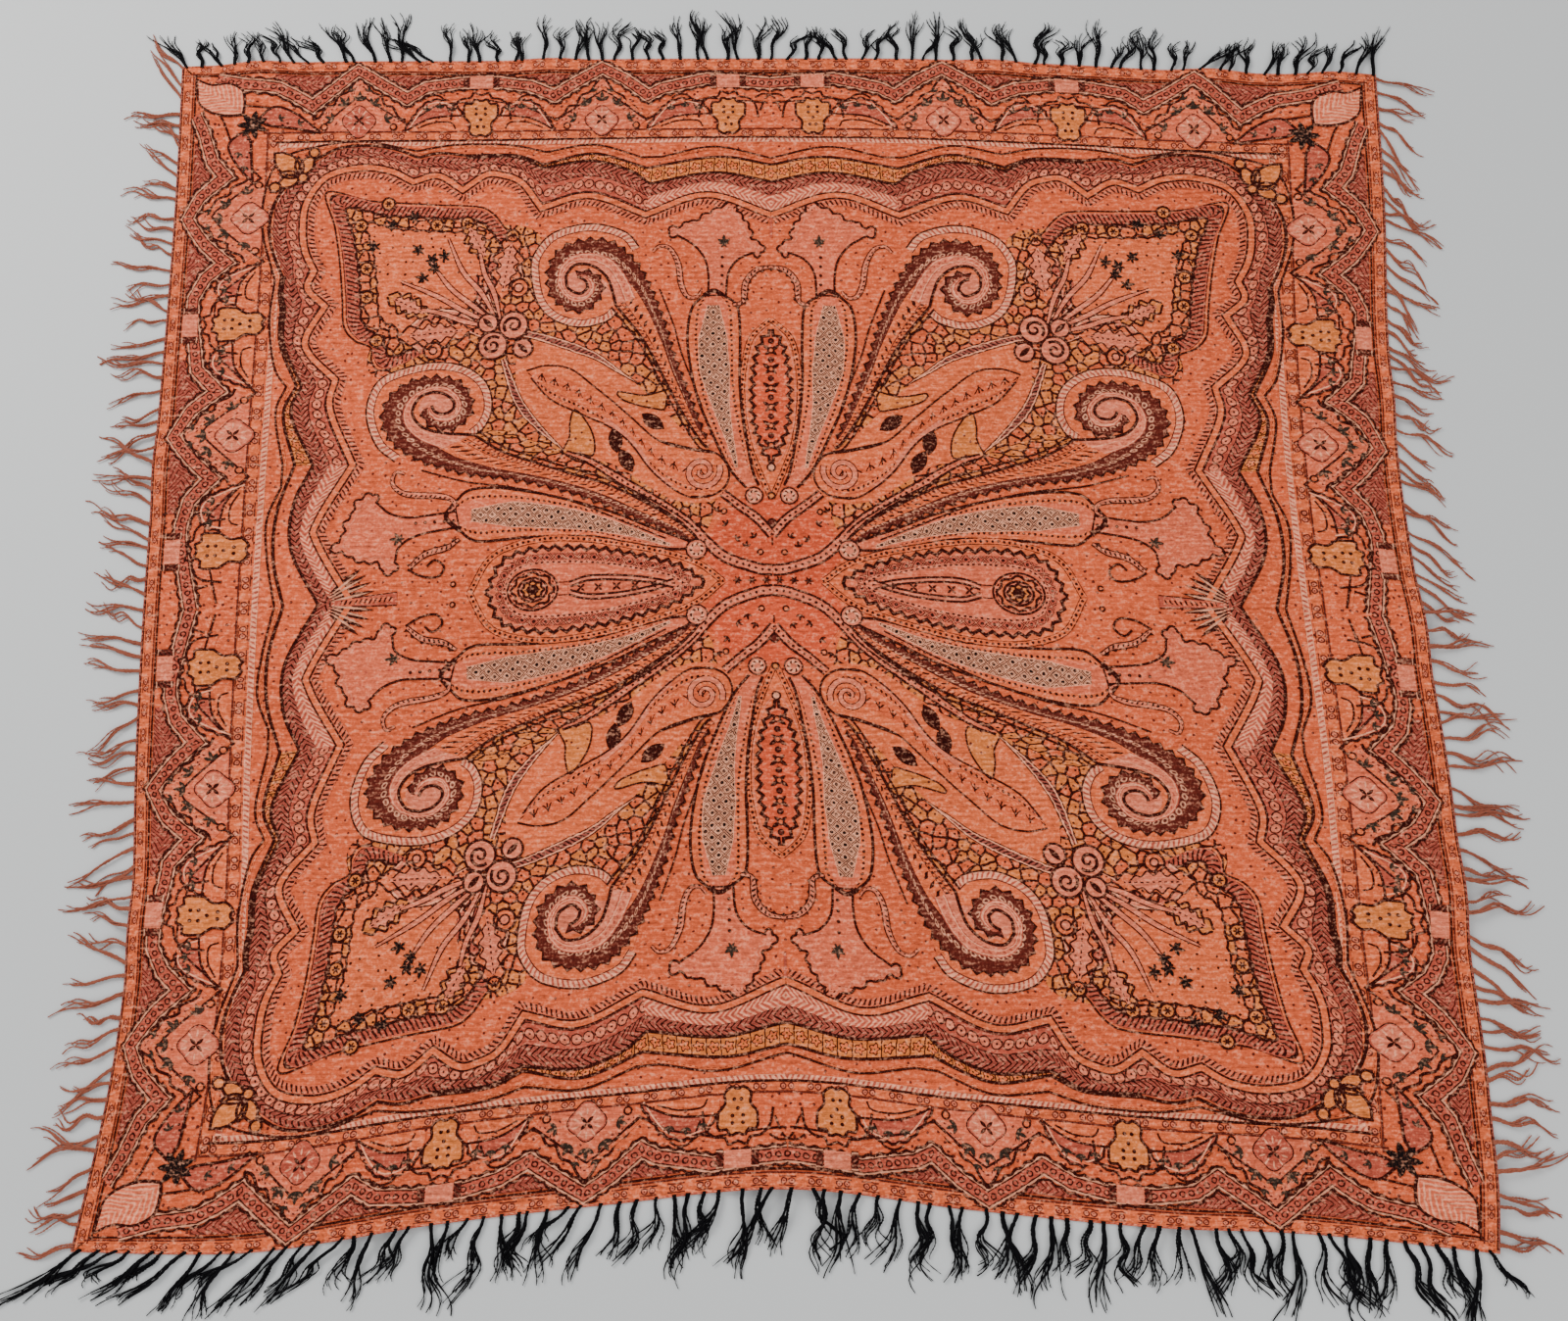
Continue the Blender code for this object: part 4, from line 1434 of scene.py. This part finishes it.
def weavePalmettes():
    name = "fieldWefts"
    # pink tulip-shaped palmettes between each pair of lattice drops
    up = [
        (51, 523), (72, 512), (93, 501), (99, 494), (112, 495),
        (117, 487), (130, 487), (136, 481), (131, 474), (122, 474),
    ]
    upStemOuter = [(122, 474), (101, 460), (87, 440), (82, 417), (82, 386)]
    upInner = [(51, 523), (40, 503), (27, 482), (25, 468), (13, 461), (10, 451), (18, 443), (24, 448)]
    upStemInner = [(24, 448), (43, 439), (56, 419), (59, 383)]
    side = [(558, 67), (541, 86), (540, 101), (530, 113), (528, 126), (518, 133), (510, 137), (501, 134), (500, 124)]
    sideStem = [(500, 124), (484, 110), (461, 103), (436, 104), (401, 107)]
    sideLow = [(558, 67), (540, 63), (519, 51), (494, 47), (491, 37), (481, 32), (472, 37), (474, 48)]
    sideStemLow = [(474, 48), (470, 66), (448, 79), (410, 85), (395, 86)]
    for first, second, third, fourth, way in (
        (up, upStemOuter, upInner, upStemInner, 1), (side, sideStem, sideLow, sideStemLow, -1),
    ):
        scallops = bumpy(smooth(first, 3), 4.2 * way, 16)
        others = bumpy(smooth(third, 3), -4.2 * way, 16)
        edge = np.vstack([scallops, smooth(second, 4)])
        other = np.vstack([others, smooth(fourth, 4)])
        patch(name, np.vstack([edge, other[::-1]]), "specks", ("salmon", "rose", "warm"), 2)
        for path in (scallops, others, smooth(second, 4), smooth(fourth, 4)):
            ribbon(name, path, 1.5, "plain", "dark", 4)
        ribbon(name, beside(scallops, -6 * way), 1.2, "plain", "pink", 4)
        ribbon(name, beside(others, 6 * way), 1.2, "plain", "pink", 4)
    for u, v, angle in ((62, 462, 90), (470, 76, 0)):
        sprig(name, u, v, 13, angle)
        star(name, u, v, 7, points=6, colour="green")
    for k in range(5):
        dot(name, 64, 390 + 13 * k, 2.2)
        dot(name, 402 + 12 * k, 95, 2.2)
    # curved acanthus leaves that frame the palmettes
    scrolls = (
        [(156, 452), (147, 460), (133, 456), (122, 434), (118, 406), (110, 388), (98, 386), (91, 395)],
        [(467, 160), (478, 163), (482, 149), (470, 136), (450, 131), (424, 129), (405, 123), (401, 113), (409, 107)],
    )
    for scroll in scrolls:
        path = smooth(scroll, 3)
        outlined(name, path, (2.0, 3.4, 4.4, 4.0, 1.8), "pink", 6, edge=1.5)
        ribbon(name, beside(path, 1.0), (0.5, 1.2, 2.0, 1.4, 0.5), "ticks", ("pink", "black", "pink"), 8)
    for scroll in ([(50, 374), (36, 379), (33, 405), (19, 423), (0, 428)], [(394, 71), (409, 61), (436, 54), (456, 38)]):
        path = smooth(scroll, 3)
        outlined(name, path, (2.2, 4.6, 4.4, 3.0), "pink", 6, edge=1.6)
        ribbon(name, path, (1.0, 2.6, 2.4, 1.0), "ticks", ("pink", "black", "pink"), 8)
        teeth(name, path, 6.5, 13, 5, fill="dark")
    line(name, [(458, 36), (440, 26), (420, 24), (412, 36), (424, 46), (434, 38)], half=1.5, layer=7)
    ring(name, 400, 13, 3, fill="warm", layer=7)
    for lift in (40, 30, 20, 10):
        patch(name, leaf(556, lift * 0.3, 62 - lift * 0.3, 3.2, math.pi - lift / 62), "plain", "dark", 5)
        patch(name, leaf(552, lift * 0.3, 52 - lift * 0.3, 1.4, math.pi - lift / 62), "plain", "ash", 6)
    outlined(name, smooth([(548, 0), (500, 0), (470, 0)], 5), (5, 7, 9), "rose", 5, mirror="level")
    ribbon(name, smooth([(540, 0), (475, 0)], 5), 3.4, "ticks", ("salmon", "dark", "salmon"), 8, "level")
    line(name, [(0, 500), (0, 470)], colour="rose", half=1.6, layer=5, mirror="upright")


def weaveBunch():
    name = "fieldWefts"
    ground = [
        (80, 178), (113, 225), (151, 301), (199, 366), (250, 352), (290, 368), (308, 400), (314, 440),
        (304, 480), (352, 496), (440, 470), (520, 330), (504, 288), (450, 305), (395, 298), (366, 272),
        (360, 240), (380, 206), (307, 169), (204, 132), (97, 61), (70, 110), (70, 150),
    ]
    patch(name, smooth(ground, 8), "pebbles", ("orange", "dark", "ochre"), 1)
    # the fan from the knot down to the centre: clear ground, two swords, a long carrot leaf
    fan = [
        (330, 335), (234, 318), (168, 262), (100, 190), (58, 160), (52, 130),
        (76, 106), (128, 112), (200, 160), (262, 178), (330, 250),
    ]
    patch(name, smooth(fan, 6), "plain", "warm", 2)
    for path in (
        [(346, 338), (315, 341), (236, 312), (197, 286), (168, 266)],
        [(347, 308), (325, 250), (298, 214), (261, 178)],
    ):
        ribbon(name, smooth(path, 4), (4, 6, 6.5, 4, 0.8), "hatch", ("mauve", "dark", "pale"), 5)
    upper = [(316, 291), (290, 297), (259, 291), (228, 266), (207, 248), (180, 223), (144, 190), (103, 176), (70, 170)]
    lower = [(310, 281), (284, 251), (245, 230), (206, 210), (180, 188), (154, 152), (128, 127), (102, 112), (77, 114)]
    high, low = smooth(upper, 4), smooth(lower, 4)
    strip(name, high, low, "plain", "warm", 5)
    strip(name, high, low, "sprigs", ("orange", "dark", "orange"), 6, lowShare=0.3, highShare=0.62)
    for path in (high, low):
        ribbon(name, path, 1.2, "plain", "dark", 8)
    strip(name, high, low, "pearls", ("warm", "dark", "rose"), 7, lowShare=0.74, highShare=0.9)
    line(name, [(128, 127), (150, 152), (180, 192), (215, 222)], colour="pink", half=3.0, layer=7)
    for u, v, angle in ((166, 226, 215), (176, 150, 60), (196, 176, 80)):
        patch(name, leaf(u, v, 34, 8, math.radians(angle)), "dots", ("pink", "dark", "pink"), 4)
        ribbon(name, leaf(u, v, 34, 8, math.radians(angle)), 1.3, "plain", "dark", 5)
    hook = [(144, 190), (103, 178), (70, 170), (54, 148), (58, 126), (77, 113), (102, 113)]
    ribbon(name, smooth(hook, 3), 1.3, "plain", "dark", 8)
    curl(name, 88, 146, 24, 160, 1.6, "pink", half=4.2, layer=7)
    for outline in (
        [(197, 258), (162, 252), (129, 259), (134, 246), (137, 232), (152, 234), (168, 238), (191, 247)],
        [(252, 236), (234, 214), (226, 192), (228, 173), (246, 177), (266, 178), (258, 199), (258, 217)],
    ):
        shape = smooth(outline, 4, closed=True)
        patch(name, shape, "specks", ("ochre", "brown", "ochre"), 6)
        ribbon(name, shape, 1.1, "plain", "dark", 8)
    # pink dotted strands that cross in the middle as a long X and close in points
    strand = [(262, 178), (230, 165), (179, 131), (128, 97), (102, 75), (80, 50), (57, 30), (20, 16), (0, 13)]
    for points, half in ((strand, (4.0, 6.5, 6.5, 7.5, 8.0)), ([(62, 117), (41, 99), (19, 82), (0, 60)], (6.0, 7.0))):
        path = smooth(points, 4)
        ribbon(name, path, half, "plain", "dark", 7)
        ribbon(name, path, np.array(half) - 1.7, "dots", ("pink", "dark", "salmon"), 8)
    one = smooth([(380, 207), (307, 169), (204, 132), (120, 82)], 5)
    two = smooth([(350, 215), (262, 178), (190, 139), (118, 90)], 5)
    strip(name, one, two, "pebbles", ("ochre", "dark", "orange"), 2)
    # the knot, three curls that meet
    for u, v, clockwise, start in ((335, 354, False, -40), (361, 327, True, 130)):
        ring(name, u, v, 19, fill="pink", layer=11, half=1.6)
        curl(name, u, v, 13, start, 1.4, "dark", clockwise, half=2.0, layer=13)
    for u, v in ((322, 322), (368, 358)):
        ring(name, u, v, 13, fill="pink", layer=10, half=1.5)
        patch(name, leaf(u - 7, v - 7, 20, 3.6, math.pi / 4), "plain", "dark", 12)
    # two fat commas that turn back to the knot
    for body, head, radius in (
        ([(329, 418), (345, 443), (370, 437), (382, 412), (371, 384), (352, 362)], (330, 406), 11),
        ([(452, 326), (462, 345), (440, 364), (408, 364), (380, 347), (360, 334)], (438, 323), 10),
    ):
        ribbon(name, smooth(body, 4), (7, 14, 16, 14, 8, 3), "edged", ("pink", "dark", "pale"), 6)
        ribbon(name, smooth(body[1:], 4), (3, 7, 7, 5, 1), "pebbles", ("rose", "dark", "warm"), 7)
        ring(name, *head, radius + 2, fill="warm", layer=8, half=1.6)
        ring(name, *head, radius - 5, fill="pink", layer=10)


def weaveLeaf():
    # the big lobed leaf that points into the corner
    name = "fieldWefts"
    rim = [
        (345, 470), (354, 496), (372, 517), (392, 524), (440, 527), (490, 531), (534, 536), (588, 549),
        (575, 500), (566, 450), (560, 400), (556, 362), (541, 342), (519, 331), (517, 312), (500, 300),
        (440, 330), (372, 380),
    ]
    rim = np.array(rim, float)
    middle = np.array((420.0, 410.0))
    for scale, figure, yarns, layer, edge in (
        (1.0, "plain", ("warm", "brown", "orange"), 2, 1.3), (0.955, "plain", ("rose", "brown", "mauve"), 3, 2.2),
        (0.83, "pebbles", ("warm", "dark", "ochre"), 5, 1.9), (0.67, "specks", ("warm", "dark", "orange"), 6, 1.5),
    ):
        shape = smooth(middle + (rim - middle) * scale, 4, closed=True)
        patch(name, shape, figure, yarns, layer)
        ribbon(name, bumpy(shape, 2.4, 17) if scale < 0.9 else shape, edge, "plain", "dark", layer + 1)
    band = smooth(middle + (rim - middle) * 0.90, 4, closed=True)
    ribbon(name, band, 8.5, "ticks", ("rose", "dark", "rose"), 4)
    for stem in (
        [(352, 362), (362, 400), (376, 430), (384, 470)],
        [(362, 352), (400, 362), (430, 374), (472, 384)],
        [(358, 358), (390, 384), (420, 410), (446, 446)],
        [(356, 360), (378, 400), (404, 432), (424, 478)],
        [(360, 356), (400, 376), (436, 398), (484, 420)],
    ):
        ribbon(name, smooth(stem, 4), (2.2, 4.4, 4.0, 2.2), "plain", "dark", 9)
        ribbon(name, smooth(stem, 4), (0.8, 2.8, 2.4, 0.8), "plain", "pink", 10)
    lobedLeaf(name, 352, 392, 92, 17, math.radians(98), layer=8)
    lobedLeaf(name, 392, 350, 92, 17, math.radians(-4), layer=8)
    lobedLeaf(name, 372, 446, 62, 13, math.radians(62), layer=8, fill="ochre")
    lobedLeaf(name, 446, 372, 62, 13, math.radians(28), layer=8, fill="ochre")
    for u, v, angle in (
        (440, 436, 45), (428, 452, 80), (454, 424, 10), (462, 462, 45),
        (446, 448, 120), (498, 498, 45), (520, 470, 20), (470, 508, 70),
    ):
        star(name, u, v, 8, points=5, colour="black", layer=11)
        sprig(name, u, v, 13, angle, colour="black", layer=12)
    for u, v in ((400, 500), (440, 498), (530, 440), (528, 400), (512, 340), (340, 480), (540, 500), (505, 530)):
        ring(name, u, v, 8.5, fill="ochre", layer=8, half=1.5)
        star(name, u, v, 5.5, points=6, layer=10)


def weaveCentre():
    name = "fieldWefts"
    patch(name, [(0, 0), (60, 0), (92, 40), (60, 90), (30, 112), (0, 108)], "plain", "red", 1)
    for u, v, angle in ((70, 92, 120), (56, 74, 40), (46, 54, 150), (33, 44, 100), (22, 56, 60)):
        sprig(name, u, v, 9, angle, colour="dark", layer=5)
    for u, v, angle in ((15, 37, 110), (60, 92, 0)):
        ring(name, u, v, 3.4, fill="warm", layer=5)
    for u in (8, 26, 44):
        star(name, u, 0, 6, points=6, layer=8, mirror="level")
    ring(name, 0, 76, 5, fill="brown", layer=8, mirror="upright")
    line(name, [(0, 56), (0, 46)], half=1.0, layer=8, mirror="upright")


# Fringes: yarns whose middle lines are laid lock by lock, spun into twisted plies by one node tree

def makeYarnTree():
    tree = bpy.data.node_groups.new("spin yarn", "GeometryNodeTree")
    face = tree.interface
    face.new_socket("Geometry", in_out="INPUT", socket_type="NodeSocketGeometry")
    face.new_socket("Turns per metre", in_out="INPUT", socket_type="NodeSocketFloat")
    face.new_socket("Sides", in_out="INPUT", socket_type="NodeSocketInt")
    face.new_socket("Material", in_out="INPUT", socket_type="NodeSocketMaterial")
    face.new_socket("Geometry", in_out="OUTPUT", socket_type="NodeSocketGeometry")
    new, link = tree.nodes.new, tree.links.new
    entry, leave = new("NodeGroupInput"), new("NodeGroupOutput")
    curve = new("GeometryNodeMeshToCurve")
    link(entry.outputs["Geometry"], curve.inputs["Mesh"])
    thick = new("GeometryNodeInputNamedAttribute")
    thick.inputs["Name"].default_value = "thick"
    tangent = new("GeometryNodeInputTangent")
    normal = new("GeometryNodeInputNormal")
    run = new("GeometryNodeSplineParameter")
    crossed = new("ShaderNodeVectorMath")
    crossed.operation = "CROSS_PRODUCT"
    link(tangent.outputs[0], crossed.inputs[0])
    link(normal.outputs[0], crossed.inputs[1])
    turn = maths(tree, "MULTIPLY", run.outputs["Length"], entry.outputs["Turns per metre"])
    joined = new("GeometryNodeJoinGeometry")
    profile = new("GeometryNodeCurvePrimitiveCircle")
    link(entry.outputs["Sides"], profile.inputs["Resolution"])
    profile.inputs["Radius"].default_value = 0.62
    for ply in range(2):
        angle = maths(tree, "ADD", turn, ply * math.pi)
        shift = None
        for vector, function in ((normal, "COSINE"), (crossed, "SINE")):
            scaled = new("ShaderNodeVectorMath")
            scaled.operation = "SCALE"
            link(vector.outputs[0], scaled.inputs[0])
            amount = maths(tree, "MULTIPLY", maths(tree, function, angle), thick.outputs["Attribute"])
            link(amount, scaled.inputs["Scale"])
            if shift is None:
                shift = scaled.outputs[0]
                continue
            total = new("ShaderNodeVectorMath")
            link(shift, total.inputs[0])
            link(scaled.outputs[0], total.inputs[1])
            shift = total.outputs[0]
        halved = new("ShaderNodeVectorMath")
        halved.operation = "SCALE"
        halved.inputs["Scale"].default_value = 0.5
        link(shift, halved.inputs[0])
        moved = new("GeometryNodeSetPosition")
        link(curve.outputs[0], moved.inputs["Geometry"])
        link(halved.outputs[0], moved.inputs["Offset"])
        radius = new("GeometryNodeSetCurveRadius")
        link(moved.outputs[0], radius.inputs["Curve"])
        link(thick.outputs["Attribute"], radius.inputs["Radius"])
        tube = new("GeometryNodeCurveToMesh")
        link(radius.outputs[0], tube.inputs["Curve"])
        link(profile.outputs[0], tube.inputs["Profile Curve"])
        tube.inputs["Fill Caps"].default_value = True
        if "Scale" in tube.inputs:
            link(thick.outputs["Attribute"], tube.inputs["Scale"])
        link(tube.outputs[0], joined.inputs[0])
    realized = new("GeometryNodeRealizeInstances")
    link(joined.outputs[0], realized.inputs[0])
    painted = new("GeometryNodeSetMaterial")
    link(realized.outputs[0], painted.inputs["Geometry"])
    link(entry.outputs["Material"], painted.inputs["Material"])
    smoothed = new("GeometryNodeSetShadeSmooth")
    link(painted.outputs[0], smoothed.inputs[0])
    link(smoothed.outputs[0], leave.inputs[0])
    return tree


yarnTree = makeYarnTree()


def makeYarnMaterial(name, colour, pale, sheen):
    material = bpy.data.materials.new(name)
    material.use_nodes = True
    tree = material.node_tree
    place = tree.nodes.new("ShaderNodeTexCoord").outputs["Object"]
    share = noise(tree, place, 420, 3)
    slow = noise(tree, place, 9, 1)
    mixed = mixColour(tree, maths(tree, "MULTIPLY_ADD", share, 0.8, -0.1), colour, pale)
    shaded = mixColour(tree, maths(tree, "MULTIPLY_ADD", slow, 1.2, -0.35), mixed, colour)
    shader = tree.nodes["Principled BSDF"]
    tree.links.new(shaded, shader.inputs["Base Color"])
    bump = tree.nodes.new("ShaderNodeBump")
    bump.inputs["Strength"].default_value = 0.5
    bump.inputs["Distance"].default_value = 0.4 * mm
    tree.links.new(noise(tree, place, 1500, 2), bump.inputs["Height"])
    tree.links.new(bump.outputs["Normal"], shader.inputs["Normal"])
    shader.inputs["Roughness"].default_value = 0.85
    shader.inputs["Sheen Weight"].default_value = sheen
    shader.inputs["Specular IOR Level"].default_value = 0.12
    return material


rustYarn = makeYarnMaterial("rust yarn", srgb(134, 66, 46), srgb(196, 118, 90), 0.1)
blackYarn = makeYarnMaterial("black yarn", srgb(6, 5, 7), srgb(20, 18, 22), 0.0)


def spinYarns(name, lines, thicks, material, turns=900.0, sides=5):
    # lines are middle lines in metres, each with its own list of thicknesses
    points = np.vstack(lines)
    edges = []
    start = 0
    for line in lines:
        edges += [(start + k, start + k + 1) for k in range(len(line) - 1)]
        start += len(line)
    mesh = bpy.data.meshes.new(name)
    mesh.from_pydata(points.tolist(), edges, [])
    mesh.attributes.new("thick", "FLOAT", "POINT").data.foreach_set("value", np.concatenate(thicks).astype(np.float32))
    thing = bpy.data.objects.new(name, mesh)
    bpy.context.scene.collection.objects.link(thing)
    modifier = thing.modifiers.new("spin yarn", "NODES")
    modifier.node_group = yarnTree
    sockets = {item.name: item.identifier for item in yarnTree.interface.items_tree if item.in_out == "INPUT"}
    modifier[sockets["Turns per metre"]] = turns
    modifier[sockets["Sides"]] = sides
    modifier[sockets["Material"]] = material
    evaluated = thing.evaluated_get(bpy.context.evaluated_depsgraph_get())
    spun = bpy.data.meshes.new_from_object(evaluated)
    thing.modifiers.clear()
    thing.data = spun
    print(name, "has", sum(len(polygon.vertices) - 2 for polygon in spun.polygons), "triangles")
    return thing


def edgeLine(side):
    # the cloth's edge from start to end, with the direction that points away from the cloth
    share = np.linspace(-1, 1, 241)
    if side in ("far", "near"):
        v = cloth["halfLength"] * (1 if side == "far" else -1)
        design = np.column_stack([share * cloth["halfWidth"], np.full(241, v)])
        turn = 1 if side == "far" else -1
    else:
        u = cloth["halfWidth"] * (1 if side == "right" else -1)
        design = np.column_stack([np.full(241, u), share * cloth["halfLength"]])
        turn = 1 if side == "left" else -1
    line = onFloor(design)
    return line, sideways(line) * turn


# waviness, spread at the tip and thickness in mm, leans in degrees at the edge's start, middle and end
fringes = {
    "far_fringe": {
        "locks": 78, "yarns": 8, "shortest": 44, "longest": 82, "leans": (-34, -4, 36),
        "wave": 6.5, "spread": 15, "thick": 1.35, "sides": 3, "seed": 3,
    },
    "near_fringe": {
        "locks": 82, "yarns": 8, "shortest": 58, "longest": 104, "leans": (-62, -8, 16),
        "wave": 8.5, "spread": 18, "thick": 1.4, "sides": 3, "seed": 5,
    },
    "left_fringe": {
        "locks": 78, "yarns": 4, "shortest": 56, "longest": 92, "leans": (-16, 4, 24),
        "wave": 7.0, "spread": 8, "thick": 1.5, "sides": 4, "seed": 7,
    },
    "right_fringe": {
        "locks": 78, "yarns": 4, "shortest": 60, "longest": 100, "leans": (4, 14, 30),
        "wave": 8.0, "spread": 9, "thick": 1.55, "sides": 4, "seed": 9,
    },
}


def makeFringe(node, material):
    figures = fringes[node]
    line, outward = edgeLine(node.split("_")[0])
    run = along(line)
    draw = random.Random(figures["seed"])
    lines, thicks = [], []
    steps = 17
    share = np.linspace(0, 1, steps)
    locks = figures["locks"]
    tug = 0.0
    for lock in range(locks):
        place = (lock + 0.5 + draw.uniform(-0.28, 0.28)) / locks
        start, middle, end = figures["leans"]
        lean = start + (middle - start) * place * 2 if place < 0.5 else middle + (end - middle) * (place * 2 - 1)
        # neighbours are tugged the same way now and then, so the fringe falls in groups
        if draw.random() < 0.45:
            tug = draw.uniform(-24, 24)
        lean = math.radians(lean + tug + draw.uniform(-16, 16))
        length = draw.uniform(figures["shortest"], figures["longest"])
        wave = figures["wave"] * draw.uniform(0.3, 1.2)
        phase = draw.uniform(0, 6.3)
        waves = draw.uniform(0.7, 1.6)
        at = place * run[-1]
        for strand in range(figures["yarns"]):
            rootAt = at + draw.uniform(-1.6, 1.6)
            root = np.array([np.interp(rootAt, run, line[:, 0]), np.interp(rootAt, run, line[:, 1])])
            out = np.array([np.interp(rootAt, run, outward[:, 0]), np.interp(rootAt, run, outward[:, 1])])
            out /= np.hypot(*out)
            beyond = np.array([out[1], -out[0]]) * (-1 if node == "near_fringe" else 1)
            ownLength = length * draw.uniform(0.72, 1.0)
            ownSpread = draw.gauss(0, figures["spread"] * 0.5)
            ownWave = figures["wave"] * draw.uniform(0.1, 0.45)
            ownPhase = draw.uniform(0, 6.3)
            sway = wave * np.sin(share * waves * 6.3 + phase) * share**0.8
            sway = sway + ownWave * np.sin(share * 9 + ownPhase) * share
            sway = sway + ownSpread * share**1.8
            outRun = ownLength * share * math.cos(lean) - 2.5
            sideRun = ownLength * share * math.sin(lean) + sway
            floor = root + np.outer(outRun, out) + np.outer(sideRun, beyond)
            rise = liftAt(root[None, :])[0] + cloth["thickness"] * 0.5
            hop = draw.uniform(0.2, 3.2) * np.sin(np.clip(share * 1.15, 0, 1) * math.pi) ** 2
            height = rise * (1 - share) ** 2 + 1.3 + hop + draw.uniform(0, 1.0)
            lines.append(np.column_stack([floor, height]) * mm)
            taper = 1 - 0.55 * share**2.5
            thicks.append(figures["thick"] * draw.uniform(0.8, 1.15) * taper * mm)
    thing = spinYarns(node, lines, thicks, material, sides=figures["sides"])
    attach(thing, "root")
    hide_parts(node)
    return thing


weaveGuard()
weaveBorder()
weaveBunch()
weaveLeaf()
weaveDrop(sideDrop)
weaveDrop(upperDrop)
weaveTrellisDrops()
weaveAxisDrops()
weavePalmettes()
weaveCentre()
clothSheet = makeCloth()
pieces = [cutOut(name) for name in wefts]
for node in fringes:
    pieces.append(makeFringe(node, blackYarn if node in ("far_fringe", "near_fringe") else rustYarn))
